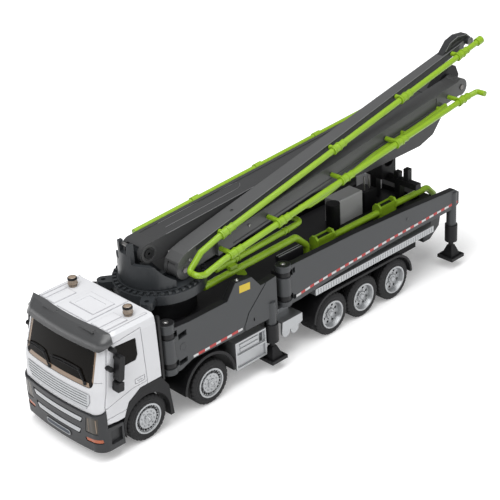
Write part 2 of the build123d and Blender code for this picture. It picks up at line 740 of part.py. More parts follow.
save(boom_rest.part, "boom_rest")

# Deck equipment: two lockers, an accumulator and a control box with two rods
with BuildPart() as deck_lockers:
    for setback, y, length, width, top in ((175.0, 0.0, 20.0, 10.0, 59.6), (212.5, -14.4, 10.0, 11.0, 57.0)):
        with Locations((behind(setback), y, (tray_z + top) / 2)):
            Box(length, width, top - tray_z)
    chamfer(deck_lockers.edges().group_by(Axis.Z)[-1], 0.6)
save(deck_lockers.part, "deck_lockers")

with BuildPart() as control_box:
    control_top_z = 57.0
    with Locations((behind(192.0), 0.0, (tray_z + control_top_z) / 2)):
        Box(10.0, 10.0, control_top_z - tray_z)
    with BuildSketch(Plane.XY.offset(tray_z)):
        with Locations((behind(160.5), 5.3)):
            Circle(4.0)
    extrude(amount=61.0 - tray_z)
    with BuildSketch(Plane.XY.offset(control_top_z)):
        with Locations((behind(190.0), 2.0), (behind(194.0), 2.0)):
            Circle(0.5)
    extrude(amount=8.5)
save(control_box.part, "control_box")


# Pipes: straight runs joined by elbows, with collars and pegs
def pipe(points, radius, bend):
    with BuildPart() as run:
        with BuildLine() as route:
            if len(points) > 2:
                FilletPolyline(*points, radius=bend)
            else:
                Line(*points)
        start = Vector(*points[0])
        heading = Vector(*points[1]) - start
        with BuildSketch(Plane(origin=start, z_dir=heading)):
            Circle(radius)
        sweep(path=route.wires()[0])
    return run.part


def collar(start, end, share, radius, length):
    """A sleeve round the run between two points, at a share of its length."""
    a = Vector(*start)
    b = Vector(*end)
    with BuildPart() as sleeve:
        with BuildSketch(Plane(origin=a + (b - a) * share, z_dir=b - a)):
            Circle(radius)
        extrude(amount=length / 2, both=True)
    return sleeve.part


def peg(x, z, y_from, y_to, radius):
    with BuildPart() as pin:
        with BuildSketch(side(max(y_from, y_to))):
            with Locations((x, z)):
                Circle(radius)
        extrude(amount=abs(y_to - y_from))
    return pin.part


# Delivery line on the deck, from the slew ring back to the hopper
deck_pipe_inset = 5.0
deck_pipe_radius = 1.9
deck_pipe_bend = 3.0
front_run_z = 58.8
front_run_rise = 2.0
rear_run_z = 50.4
clamp_top_z = 53.0
with BuildPart() as deck_pipe:
    deck_pipe_y = deck_half_width - deck_pipe_inset
    front_run_end_z = front_run_z + front_run_rise
    add(pipe([(behind(52.0), deck_pipe_y, front_run_z), (behind(118.0), deck_pipe_y, front_run_end_z),
              (behind(126.0), deck_pipe_y, front_run_end_z - 7.8), (behind(126.0), deck_pipe_y, tray_z + 1.0)],
             deck_pipe_radius, deck_pipe_bend))
    add(pipe([(behind(134.0), deck_pipe_y, rear_run_z), (behind(226.0), deck_pipe_y, rear_run_z),
              (behind(232.0), deck_pipe_y, rear_run_z - 6.0)], deck_pipe_radius, deck_pipe_bend + 1.0))
    for setback in (139.0, 190.0):
        with Locations((behind(setback), deck_pipe_y - 0.6, (tray_z + clamp_top_z) / 2)):
            Box(14.0, 5.0, clamp_top_z - tray_z)
save(deck_pipe.part, "deck_pipe")

riser_inset = 2.5
riser_z = 63.2
riser_rise = 3.0
with BuildPart() as riser_pipe:
    riser_y = deck_pipe_y - riser_inset
    saddle_setback = 72.0
    saddle_bottom_z = front_run_z + 2.8
    with Locations((behind(saddle_setback), (riser_y + deck_pipe_y) / 2 + 0.4, (saddle_bottom_z + riser_z + 0.2) / 2)):
        Box(5.0, riser_inset + 2.4, riser_z + 0.2 - saddle_bottom_z)
    riser_end_z = riser_z + riser_rise
    add(pipe([(behind(63.0), riser_y, riser_z), (behind(119.0), riser_y, riser_end_z),
              (behind(125.0), riser_y, riser_end_z + 0.8), (behind(125.0), riser_y - 8.0, riser_end_z + 0.8)],
             pipe_radius, 2.6))
save(riser_pipe.part, "riser_pipe")

# Hopper at the tail, open on top
hopper_front = frame_back
hopper_back = 243.0
hopper_half_width = 16.0
hopper_wall = 1.4
with BuildPart() as hopper:
    with BuildSketch(side(hopper_half_width)):
        with BuildLine():
            Polyline(
                profile([(-hopper_front, 14.0), (-hopper_front, 38.0), (-hopper_back, 35.0), (-hopper_back + 3.0, 20.0),
                         (-hopper_front - 6.0, 14.0)]),
                close=True,
            )
        make_face()
    extrude(amount=2 * hopper_half_width)
    with BuildSketch(side(hopper_half_width - hopper_wall)):
        with BuildLine():
            Polyline(
                profile([(-hopper_front - hopper_wall, 18.0), (-hopper_front - hopper_wall, 40.0),
                         (-hopper_back + hopper_wall, 40.0), (-hopper_back + 4.4, 21.0), (-hopper_front - 6.0, 17.0)]),
                close=True,
            )
        make_face()
    extrude(amount=2 * (hopper_half_width - hopper_wall), mode=Mode.SUBTRACT)
save(hopper.part, "hopper")


# Outriggers: a panel swinging on an upright pin, with a jack at its free end
def outrigger_panel(outline, hinge_setback, bottom, top, lug_slots, leg_setback, leg_y, leg_top, leg_bottom, cuts):
    hinge = (behind(hinge_setback), hinge_y)
    with BuildPart() as panel:
        with BuildSketch(side(body_half_width)):
            with BuildLine():
                Polyline(profile(outline), close=True)
            make_face()
        extrude(amount=panel_thickness)
        with BuildSketch(Plane.XY.offset(bottom)):
            with Locations(hinge):
                Circle(barrel_radius)
        extrude(amount=top - bottom)
        with BuildSketch(Plane.XY.offset(leg_bottom)):
            with Locations((behind(leg_setback), leg_y)):
                Circle(jack_rod_radius)
        extrude(amount=leg_top - leg_bottom)
        with BuildSketch(Plane.XY.offset(bottom - 1)):
            with Locations(hinge):
                Circle(hinge_pin_radius + hinge_gap)
        extrude(amount=top - bottom + 2, mode=Mode.SUBTRACT)
        for low, high in lug_slots:
            with BuildSketch(Plane.XY.offset(low)):
                with Locations(hinge):
                    Circle(barrel_radius + 1.0)
            extrude(amount=high - low, mode=Mode.SUBTRACT)
        for cut_outline, depth in cuts:
            with BuildSketch(side(body_half_width)):
                with BuildLine():
                    Polyline(profile(cut_outline), close=True)
                make_face()
            extrude(amount=depth, mode=Mode.SUBTRACT)
    return panel.part


def save_pair(part, name):
    save(part, f"{name}_left")
    save(part.mirror(Plane.XZ), f"{name}_right")


def slots_for(lugs):
    return [(z - lug_gap, z + lug_thickness + lug_gap) for z in lugs]


def raised(outline, bottom):
    """Side outline with heights counted from a piece's lowest edge."""
    return [(x, bottom + z) for x, z in outline]


lug_thickness = 2.8
lug_gap = 0.3
arm_bottom_z = deck_bottom_z + 1.9
arm_height = 28.2
arm_lugs = [arm_bottom_z + 3.6, arm_bottom_z + 20.2]
beam_bottom_z = deck_bottom_z + 5.5
beam_height = 23.6
beam_lugs = [beam_bottom_z + 3.0, beam_bottom_z + 17.0]
front_jack_setback = 86.6
front_jack_y = body_half_width - 1.6
rear_jack_setback = 235.2
rear_jack_y = body_half_width - 1.9
rod_bottom_z = 22.0
groove_depth = 0.5
# Outlines of the arm and the beam: places ahead of the front axle, heights over the lowest edge
arm_outline = [
    (-arm_hinge_setback, 0.0), (-arm_hinge_setback, 25.2), (-30.5, 24.2), (-56.0, 24.2), (-62.0, 32.2), (-73.3, 31.0),
    (-79.1, 23.7), (-82.8, 23.7), (-90.2, 24.5), (-90.2, 1.8), (-31.0, 2.8), (-23.0, 0.0),
]
arm_slots = [
    [(-22.8, 17.2), (-28.2, 18.0), (-28.2, 21.2), (-22.8, 20.4)],
    [(-22.4, 2.6), (-27.6, 3.2), (-27.6, 6.0), (-22.4, 5.4)],
    [(-72.9, 5.4), (-73.8, 5.2), (-73.8, 7.2), (-72.9, 7.4)],
]
arm_grooves = [
    [(-66.9, 2.2), (-66.9, 5.0), (-70.2, 11.4), (-83.6, 24.0), (-83.0, 24.4), (-69.6, 11.8), (-66.2, 5.0), (-66.2, 2.2)],
]
beam_outline = [
    (-beam_hinge_setback, 0.0), (-beam_hinge_setback, 22.6), (-150.0, 21.6), (-190.0, 19.6), (-236.0, 16.4), (-239.4, 14.0),
    (-239.4, 6.5), (-236.0, 4.7), (-170.4, 4.1), (-134.4, 2.4), (-107.0, 0.0),
]
beam_slots = [
    [(-102.4, 17.4), (-104.0, 17.4), (-104.0, 20.6), (-102.4, 20.6)],
    [(-102.4, 1.8), (-104.0, 1.8), (-104.0, 4.6), (-102.4, 4.6)],
]


def face_cuts(slots, grooves, bottom):
    through = [(raised(outline, bottom), panel_thickness) for outline in slots]
    shallow = [(raised(outline, bottom), groove_depth) for outline in grooves]
    return through + shallow


save_pair(
    outrigger_panel(raised(arm_outline, arm_bottom_z), arm_hinge_setback, arm_bottom_z, arm_bottom_z + arm_height,
                    slots_for(arm_lugs), front_jack_setback, front_jack_y, arm_bottom_z + 10.6, rod_bottom_z,
                    face_cuts(arm_slots, arm_grooves, arm_bottom_z)),
    "front_arm",
)
save_pair(
    outrigger_panel(raised(beam_outline, beam_bottom_z), beam_hinge_setback, beam_bottom_z, beam_bottom_z + beam_height,
                    slots_for(beam_lugs), rear_jack_setback, rear_jack_y, beam_bottom_z + 15.0, rod_bottom_z + 2.0,
                    face_cuts(beam_slots, [], beam_bottom_z)),
    "rear_beam",
)


def jack(setback, y):
    """A sleeve over the outrigger's rod, with a neck, a four-sided foot and a rimmed square plate."""
    bore_radius = jack_rod_radius + hinge_gap
    plate_z = foot_bottom_z + 1.2
    with BuildPart() as leg:
        with BuildSketch(Plane.XZ):
            with BuildLine():
                Polyline(
                    (0, 12.6), (1.5, 12.6), (1.5, 15.6), (sleeve_radius, 16.4), (sleeve_radius, 27.0),
                    (bore_radius, 27.0), (bore_radius, 18.0), (0, 18.0), close=True,
                )
            make_face()
        revolve(axis=Axis.Z)
        with Locations((0, 0, (foot_bottom_z + plate_z) / 2)):
            Box(foot_size, foot_size, plate_z - foot_bottom_z)
        with BuildSketch(Plane.XY.offset(plate_z)):
            Rectangle(foot_size, foot_size)
            Rectangle(foot_size - 1.6, foot_size - 1.6, mode=Mode.SUBTRACT)
        extrude(amount=0.8)
        with BuildSketch(Plane.XY.offset(plate_z)):
            Rectangle(foot_size - 3.0, foot_size - 3.0)
        with BuildSketch(Plane.XY.offset(13.4)):
            Rectangle(3.2, 3.2)
        loft()
    return leg.part.moved(Location((behind(setback), y, 0)))


save_pair(jack(front_jack_setback, front_jack_y), "front_jack")
save_pair(jack(rear_jack_setback, rear_jack_y), "rear_jack")

# Hinge lugs on the deck, with the upright pins of the outriggers
with BuildPart() as hinge_lugs:
    lug_radius = barrel_radius - 0.4
    for setback, lugs in ((arm_hinge_setback, arm_lugs), (beam_hinge_setback, beam_lugs)):
        for z in lugs:
            with BuildSketch(Plane.XY.offset(z)):
                with Locations((behind(setback), hinge_y)):
                    Circle(lug_radius)
                with Locations((behind(setback), (deck_half_width + hinge_y) / 2)):
                    Rectangle(2 * lug_radius, hinge_y - deck_half_width)
            extrude(amount=lug_thickness)
            with BuildSketch(Plane.XY.offset(z)):
                with Locations((behind(setback), hinge_y)):
                    Circle(hinge_pin_radius)
            extrude(amount=lug_thickness, mode=Mode.SUBTRACT)
    mirror(about=Plane.XZ)
save(hinge_lugs.part, "hinge_lugs")

with BuildPart() as hinge_pins:
    # columns: hinge setback, lowest edge, height
    for setback, low, height in ((arm_hinge_setback, arm_bottom_z, arm_height),
                                 (beam_hinge_setback, beam_bottom_z, beam_height)):
        with BuildSketch(Plane.XY.offset(low)):
            with Locations((behind(setback), hinge_y)):
                Circle(hinge_pin_radius)
        extrude(amount=height + 0.4)
    mirror(about=Plane.XZ)
save(hinge_pins.part, "hinge_pins")

# Turret: a round base, a cut-away shell, the boom's post and a fork ahead of the boom's nose
boom_pivot_x = behind(boom_pivot_setback)
post_far_y = boom_far_y + boom_cheek + running_gap
post_near_y = boom_near_y - boom_cheek - running_gap
base_z = ring_top_z + running_gap
floor_top_z = base_z + turret_floor
tower_far_y = post_far_y - 0.6
tower_near_y = post_near_y + 0.8
prong_width = 2.2
nose_reach = boom_nose_radius + 0.4
rim_centre_setback = slew_setback + 6.0
rim_centre_z = 91.3
rim_radius_side = 23.0
with BuildPart() as turret:
    with BuildSketch(Plane.XY.offset(base_z)):
        with Locations((slew_x, 0)):
            Circle(turret_radius)
            Circle(turret_radius - turret_wall, mode=Mode.SUBTRACT)
    extrude(amount=prong_top_z - base_z)
    # The side view of the shell: low and open behind, a curved rim, a shoulder and a narrow tower
    with BuildSketch(side(outside_y)):
        with Locations((behind(rim_centre_setback), rim_centre_z)):
            Circle(rim_radius_side)
        with Locations((behind(rim_centre_setback + 30.0), rim_centre_z)):
            Rectangle(60.0, 2 * rim_radius_side)
    extrude(amount=2 * outside_y, mode=Mode.SUBTRACT)
    for y_from, y_to, low in ((-outside_y, tower_far_y, turret_shoulder_z), (tower_near_y, outside_y, turret_shoulder_z),
                              (tower_far_y + prong_width, tower_near_y - prong_width, turret_tower_z)):
        with Locations((slew_x, (y_from + y_to) / 2, (low + 100.0) / 2)):
            Box(60.0, y_to - y_from, 100.0 - low, mode=Mode.SUBTRACT)
    with BuildSketch(Plane.XY.offset(base_z)):
        with Locations((slew_x, 0)):
            Circle(turret_radius)
    extrude(amount=turret_floor)
    with BuildSketch(Plane.XY.offset(base_z)):
        with Locations((slew_x, 0)):
            Circle(spigot_radius)
    extrude(amount=-spigot_depth)
    with BuildSketch(side(tower_near_y - prong_width + 0.2)):
        with Locations((boom_pivot_x + nose_reach + 2.2, prong_top_z - 1.8)):
            Circle(0.8)
    extrude(amount=tower_near_y - tower_far_y - 2 * prong_width + 0.4)
    with BuildSketch(side(boom_near_y + running_gap)):
        with Locations((boom_pivot_x, boom_pivot_z)):
            Circle(nose_reach)
    extrude(amount=boom_near_y - boom_far_y + 2 * running_gap, mode=Mode.SUBTRACT)
    with BuildSketch(side(outside_y)):
        with Locations((behind(front_fold_setback + 20.0), ring_top_z)):
            Rectangle(2 * (20.0 + fold_lobe_radius + 3.0), 8.0)
    extrude(amount=outside_y - fold_far_y + running_gap, mode=Mode.SUBTRACT)
    with BuildSketch(side(post_near_y)):
        with Locations((boom_pivot_x, boom_pivot_z)):
            Circle(post_radius)
        with BuildLine():
            Polyline((boom_pivot_x - post_radius, boom_pivot_z), (boom_pivot_x + post_radius, boom_pivot_z),
                     (boom_pivot_x + post_radius, 74.0), (boom_pivot_x + 6.4, floor_top_z),
                     (boom_pivot_x - 9.0, floor_top_z), (boom_pivot_x - post_radius, 76.0), close=True)
        make_face()
    extrude(amount=post_near_y - post_far_y)
    with BuildSketch(side(10.0)):
        with Locations((boom_pivot_x, boom_pivot_z)):
            Circle(fold_pin_radius + hinge_gap)
    extrude(amount=20.0, mode=Mode.SUBTRACT)
save(turret.part, "turret")

# First boom section: a deep box with a rounded nose round the pivot, open below at the front
boom_slope = radians(3.5)
top_plate = 1.2
nose_slot_end = 60.0
bracket_front = rear_fold_setback - 11.5
bracket_far_y = 1.0
boss_rise = 0.5


def boom_top(setback):
    """Height of the first section's top line at a distance behind the front axle."""
    return boom_pivot_z + boom_nose_radius + (setback - boom_pivot_setback) * tan(boom_slope)


with BuildPart() as boom_1_beam:
    with BuildSketch(side(boom_near_y)):
        with BuildLine():
            Polyline(
                profile([(-boom_pivot_setback, boom_top(boom_pivot_setback)),
                         (-boom_pivot_setback, boom_pivot_z - boom_nose_radius), (-60.0, 75.6),
                         (-140.0, 73.6), (-190.0, 70.2), (-234.0, 70.4), (-bracket_front, 74.0),
                         (-rear_fold_setback + 2.5, 84.0), (-rear_fold_setback - 1.5, boom_top(rear_fold_setback + 1.5))]),
                close=True,
            )
        make_face()
        with Locations((boom_pivot_x, boom_pivot_z)):
            Circle(boom_nose_radius)
    extrude(amount=boom_near_y - boom_far_y)
    with BuildSketch(side(boom_near_y - boom_cheek)):
        with BuildLine():
            Polyline(
                profile([(-boom_pivot_setback + 9.0, 60.0), (-boom_pivot_setback + 9.0, boom_top(boom_pivot_setback) - top_plate),
                         (-boom_pivot_setback, boom_top(boom_pivot_setback) - top_plate),
                         (-nose_slot_end, boom_top(nose_slot_end) - top_plate), (-nose_slot_end, 60.0)]),
                close=True,
            )
        make_face()
    extrude(amount=boom_near_y - boom_far_y - 2 * boom_cheek, mode=Mode.SUBTRACT)
    with BuildSketch(side(boom_near_y)):
        with Locations((behind(bracket_front + 20.0), rear_fold_z - 2.6)):
            Rectangle(40.0, 22.0)
    extrude(amount=boom_near_y - bracket_far_y, mode=Mode.SUBTRACT)
    # A long shallow panel sunk into the top, and round bosses over the pivot
    with BuildSketch(side(boom_near_y - 2.0)):
        with BuildLine():
            Polyline(
                profile([(-boom_pivot_setback - 5.0, boom_top(boom_pivot_setback + 5.0) - 0.4),
                         (-boom_pivot_setback - 5.0, boom_top(boom_pivot_setback + 5.0) + 1.0),
                         (-bracket_front + 6.0, boom_top(bracket_front - 6.0) + 1.0),
                         (-bracket_front + 6.0, boom_top(bracket_front - 6.0) - 0.4)]),
                close=True,
            )
        make_face()
    extrude(amount=boom_near_y - boom_far_y - 4.0, mode=Mode.SUBTRACT)
    for y in (boom_near_y + boss_rise, boom_far_y):
        with BuildSketch(side(y)):
            with Locations((boom_pivot_x, boom_pivot_z)):
                Circle(boom_nose_radius - 0.5)
                Circle(boom_nose_radius - 1.7, mode=Mode.SUBTRACT)
        extrude(amount=boss_rise)
    with BuildSketch(side(20.0)):
        with Locations((boom_pivot_x, boom_pivot_z)):
            Circle(fold_pin_radius)
    extrude(amount=40.0, mode=Mode.SUBTRACT)
save(boom_1_beam.part, "boom_1_beam")

# Pivot pin with a washer-like head on each side
pin_head_radius = 2.6
with BuildPart() as boom_1_pin:
    with BuildSketch(side(boom_near_y + boss_rise)):
        with Locations((boom_pivot_x, boom_pivot_z)):
            Circle(fold_pin_radius)
    extrude(amount=boom_near_y - boom_far_y + 2 * boss_rise)
    for y in (boom_near_y + boss_rise, boom_far_y):
        with BuildSketch(side(y)):
            with Locations((boom_pivot_x, boom_pivot_z)):
                Circle(pin_head_radius)
        extrude(amount=boss_rise)
    with BuildSketch(side(boom_near_y + boss_rise)):
        with Locations((boom_pivot_x, boom_pivot_z)):
            Circle(0.7)
    extrude(amount=2.0, mode=Mode.SUBTRACT)
save(boom_1_pin.part, "boom_1_pin")

# Bracket at the first section's rear end, which carries the fold pin
rear_fold_x = behind(rear_fold_setback)
front_fold_x = behind(front_fold_setback)


def round_rear_fold(points):
    """Side outline from (setback beyond the rear fold, height over it) pairs."""
    return profile([(-rear_fold_setback - x, rear_fold_z + z) for x, z in points])


with BuildPart() as boom_1_bracket:
    with BuildSketch(side(boom_near_y + 0.7)) as bracket_side:
        with BuildLine():
            Polyline(
                round_rear_fold([(-11.5, -13.6), (-11.5, boom_top(bracket_front) - rear_fold_z), (-5.5, 5.0), (2.5, 9.4),
                                 (7.5, 8.4), (10.5, 2.4), (8.5, -3.6), (3.5, -9.6), (-1.5, -11.6)]),
                close=True,
            )
        make_face()
        fillet(bracket_side.vertices().group_by(Axis.X)[0], 1.5)
    extrude(amount=boom_near_y + 0.7 - bracket_far_y)
    with BuildSketch(side(20.0)):
        with Locations((rear_fold_x, rear_fold_z)):
            Circle(fold_pin_radius)
    extrude(amount=40.0, mode=Mode.SUBTRACT)
save(boom_1_bracket.part, "boom_1_bracket")

with BuildPart() as boom_1_pipe:
    pipe_front = boom_pivot_setback + 5.1
    pipe_back = rear_fold_setback - 17.5
    pipe_start = (behind(pipe_front), far_pipe_y, boom_top(pipe_front) - 1.4)
    pipe_end = (behind(pipe_back), far_pipe_y, boom_top(pipe_back) - 1.4)
    add(pipe([pipe_start, pipe_end], pipe_radius, 0))
    for share in (0.2, 0.42, 0.64, 0.86):
        add(collar(pipe_start, pipe_end, share, collar_radius, collar_length))
save(boom_1_pipe.part, "boom_1_pipe")

# Second section, folded forward beside the first
fold_slope = (rear_fold_z - front_fold_z) / (rear_fold_setback - front_fold_setback)
section_2_half_depth = 4.5
tongue_end_setback = front_fold_setback + 22.7
tongue_half_width = 2.6
fold_middle_y = (fold_far_y + fold_near_y) / 2


def section_2_z(setback):
    """Centre height of the second section at a distance behind the front axle."""
    return front_fold_z + (setback - front_fold_setback) * fold_slope


def section_2_strip(front, back, half_depth):
    return profile([
        (-front, section_2_z(front) - half_depth), (-front, section_2_z(front) + half_depth),
        (-back, section_2_z(back) + half_depth), (-back, section_2_z(back) - half_depth),
    ])


with BuildPart() as boom_2_beam:
    with BuildSketch(side(fold_near_y)):
        with BuildLine():
            Polyline(section_2_strip(tongue_end_setback, rear_fold_setback, section_2_half_depth), close=True)
        make_face()
        with Locations((rear_fold_x, rear_fold_z)):
            Circle(fold_lobe_radius)
    extrude(amount=fold_near_y - fold_far_y)
    with BuildSketch(side(fold_middle_y + tongue_half_width)):
        with BuildLine():
            Polyline(section_2_strip(front_fold_setback, tongue_end_setback + 4.0, section_2_half_depth), close=True)
        make_face()
        with Locations((front_fold_x, front_fold_z)):
            Circle(fold_lobe_radius - running_gap)
    extrude(amount=2 * tongue_half_width)
    # Long panel sunk into the near side
    with BuildSketch(side(fold_near_y)):
        with BuildLine():
            Polyline(section_2_strip(tongue_end_setback + 10.0, rear_fold_setback - 22.0, section_2_half_depth - 1.4), close=True)
        make_face()
    extrude(amount=0.4, mode=Mode.SUBTRACT)
    with BuildSketch(side(30.0)):
        with Locations((front_fold_x, front_fold_z), (rear_fold_x, rear_fold_z)):
            Circle(fold_pin_radius + hinge_gap)
    extrude(amount=40.0, mode=Mode.SUBTRACT)
save(boom_2_beam.part, "boom_2_beam")

with BuildPart() as rear_fold_pin:
    with BuildSketch(side(fold_near_y + 0.6)):
        with Locations((rear_fold_x, rear_fold_z)):
            Circle(fold_pin_radius)
    extrude(amount=fold_near_y + 0.6 - bracket_far_y)
save(rear_fold_pin.part, "rear_fold_pin")

# Pipes on the second section: a long outer run that ends in an elbow at the rear fold,
# and a lower run close to the beam that turns in under it
joint_y = 23.3
outer_run_front = front_fold_setback + 18.2
outer_run_back = rear_fold_setback - 6.5
lower_pipe_y = fold_near_y + pipe_radius + 0.5
with BuildPart() as boom_2_pipe:
    run_start = (behind(outer_run_front), outer_pipe_y, section_2_z(outer_run_front) - 1.0)
    run_end = (behind(outer_run_back), outer_pipe_y, section_2_z(outer_run_back) - 1.0)
    add(pipe([(front_fold_x, joint_y + 0.1, front_fold_z), (front_fold_x, outer_pipe_y + 0.4, front_fold_z),
              (behind(front_fold_setback + 5.2), outer_pipe_y, front_fold_z - 1.6), run_start, run_end,
              (rear_fold_x, outer_pipe_y + 2.4, rear_fold_z), (rear_fold_x, outer_pipe_y + 8.0, rear_fold_z)],
             pipe_radius, 1.7))
    for setback in (66.0, 100.0, 148.0, 192.0, 246.0):
        share = (setback - outer_run_front) / (outer_run_back - outer_run_front)
        add(collar(run_start, run_end, share, collar_radius, collar_length))
        add(peg(behind(setback), section_2_z(setback) - 1.0, outer_pipe_y, fold_near_y, peg_radius))
    # columns: setback, drop under the section's middle line
    lower_route = [(241.0, 3.3), (220.0, 4.4), (180.0, 4.3), (141.0, 8.6), (128.0, 8.4)]
    lower_points = [(behind(s), lower_pipe_y, section_2_z(s) - drop) for s, drop in lower_route]
    last_x, last_y, last_z = lower_points[-1]
    lower_points.append((last_x + 4.0, last_y - 4.0, last_z - 0.6))
    add(pipe(lower_points, pipe_radius - 0.2, 2.0))
    for setback, drop in ((236.0, 3.4), (205.0, 3.6)):
        add(peg(behind(setback), section_2_z(setback) - drop, lower_pipe_y, fold_near_y, peg_radius))
save(boom_2_pipe.part, "boom_2_pipe")


# Third section, folded back above the second
section_3_front = front_fold_setback + 6.2
section_3_rise = 10.1
tip_setback = 262.0
tip_rise = 25.9
tip_top_z = rear_fold_z + tip_rise
tip_depth = 4.0
tip_half_width = 2.7
section_3_slope = (tip_top_z - front_fold_z - section_3_rise) / (tip_setback - section_3_front)


def section_3_top(setback):
    """Height of the third section's top line at a distance behind the front axle."""
    return front_fold_z + section_3_rise + (setback - section_3_front) * section_3_slope


def section_3_near_y(setback):
    """The tapering section's near face."""
    share = (setback - taper_start) / (tip_setback - taper_start)
    return fold_near_y - share * (fold_near_y - fold_middle_y - tip_half_width)


def round_front_fold(points):
    """Side outline from (setback beyond the front fold, height over it) pairs."""
    return [(-front_fold_setback - x, front_fold_z + z) for x, z in points]


taper_start = front_fold_setback + 20.0
# columns: setback of a point on the underside, depth under the top line
underside_3 = [(tip_setback, tip_depth), (196.0, 5.4), (110.0, 7.4), (74.0, 6.6), (60.0, 5.0)]
with BuildPart() as boom_3_beam:
    with BuildSketch(side(fold_near_y)):
        with BuildLine():
            Polyline(
                profile(round_front_fold([(-5.0, 0.0), (-3.6, 5.2), (0.2, 8.4)])
                        + [(-section_3_front, section_3_top(section_3_front)), (-tip_setback, tip_top_z)]
                        + [(-s, section_3_top(s) - depth) for s, depth in underside_3]
                        + round_front_fold([(8.2, 2.4), (4.2, -2.7)])),
                close=True,
            )
        make_face()
        with Locations((front_fold_x, front_fold_z)):
            Circle(fold_lobe_radius)
    extrude(amount=fold_near_y - fold_far_y)
    with BuildSketch(Plane.XY.offset(front_fold_z - 20.0)):
        with BuildLine():
            Polyline(
                (ahead(0), fold_far_y), (behind(taper_start), fold_far_y),
                (behind(tip_setback + 2.0), fold_middle_y - tip_half_width),
                (behind(tip_setback + 2.0), fold_middle_y + tip_half_width),
                (behind(taper_start), fold_near_y), (ahead(0), fold_near_y), close=True,
            )
        make_face()
    extrude(amount=100.0, mode=Mode.INTERSECT)
    with BuildSketch(side(fold_middle_y + tongue_half_width + running_gap)):
        with Locations((front_fold_x, front_fold_z)):
            Circle(fold_lobe_radius + running_gap)
        with BuildLine():
            Polyline(
                profile(round_front_fold([(-7.8, -12.6), (-7.8, 1.4), (-1.8, 5.4), (6.2, 8.0)])
                        + [(-front_fold_setback - 24.2, section_3_top(front_fold_setback + 24.2) - 2.2),
                           (-front_fold_setback - 24.2, front_fold_z - 12.6)]),
                close=True,
            )
        make_face()
    extrude(amount=2 * (tongue_half_width + running_gap), mode=Mode.SUBTRACT)
    with BuildSketch(side(30.0)):
        with Locations((front_fold_x, front_fold_z)):
            Circle(fold_pin_radius)
    extrude(amount=40.0, mode=Mode.SUBTRACT)
save(boom_3_beam.part, "boom_3_beam")

with BuildPart() as front_fold_pin:
    with BuildSketch(side(fold_near_y + 0.5)):
        with Locations((front_fold_x, front_fold_z)):
            Circle(fold_pin_radius)
    extrude(amount=fold_near_y - fold_far_y + 1.0)
save(front_fold_pin.part, "front_fold_pin")

# Pipe along the third section, with a flared mouth past the tip
near_run_front = front_fold_setback + 20.2
near_run_back = tip_setback + 6.0
with BuildPart() as boom_3_pipe:
    run_start = (behind(near_run_front), near_pipe_y, section_3_top(near_run_front) - 1.6)
    run_end = (behind(near_run_back), near_pipe_y, section_3_top(near_run_back) - 1.6)
    add(pipe([(front_fold_x, joint_y - 0.1, front_fold_z), (front_fold_x, near_pipe_y - 0.4, front_fold_z),
              (behind(front_fold_setback + 8.2), near_pipe_y, front_fold_z + 7.8), run_start, run_end], pipe_radius, 1.7))
    for setback in (66.0, 148.0, 202.0, 251.0):
        share = (setback - near_run_front) / (near_run_back - near_run_front)
        add(collar(run_start, run_end, share, collar_radius, collar_length))
        add(peg(behind(setback), section_3_top(setback) - 1.9, near_pipe_y, section_3_near_y(setback) + 0.1, peg_radius))
    add(collar(run_start, run_end, 1.0, 2.3, 4.0))
save(boom_3_pipe.part, "boom_3_pipe")

# Sun visor: a hollow band that wraps round the roof's front edge, with two tabs on top
visor_bottom_z = 60.0
visor_top_z = 67.8
visor_wall = 1.6
visor_back = 16.4
# columns: height, front of the bow, how far the sides stand proud of the body
visor_levels = [(visor_bottom_z, 25.4, 0.6), (visor_top_z, 20.9, 0.0)]
behind_visor = [(0.0, 80.0), (visor_back, 80.0), (visor_back, 63.1), (23.0, visor_bottom_z), (23.0, 55.0), (0.0, 55.0)]
with BuildPart() as sun_visor:
    for z, front, proud in visor_levels:
        with BuildSketch(Plane.XY.offset(z)):
            add(bowed_plan(ahead(front), body_half_width + proud, ahead(0)))
    loft(ruled=True)
    with BuildSketch(Plane.XY.offset(visor_bottom_z - 1.0)):
        inner_half_width = body_half_width - visor_wall - 1.2
        add(bowed_plan(ahead(visor_levels[1][1] - 2 * visor_wall), inner_half_width, ahead(-5.0)))
    extrude(amount=20.0, mode=Mode.SUBTRACT)
    add(side_prism(profile(behind_visor)), mode=Mode.SUBTRACT)
    add(cab_form(-skin_gap), mode=Mode.SUBTRACT)
    for y in (-11.4, 17.3):
        with Locations((ahead(20.0), y, visor_top_z)):
            Box(2.0, 10.4, 1.2)
save(sun_visor.part, "sun_visor")

# Mirrors: a tall leaning housing and a small one under it on each side, held by two pegs
mirror_outer_y = body_half_width + 5.0
mirror_width = 4.2
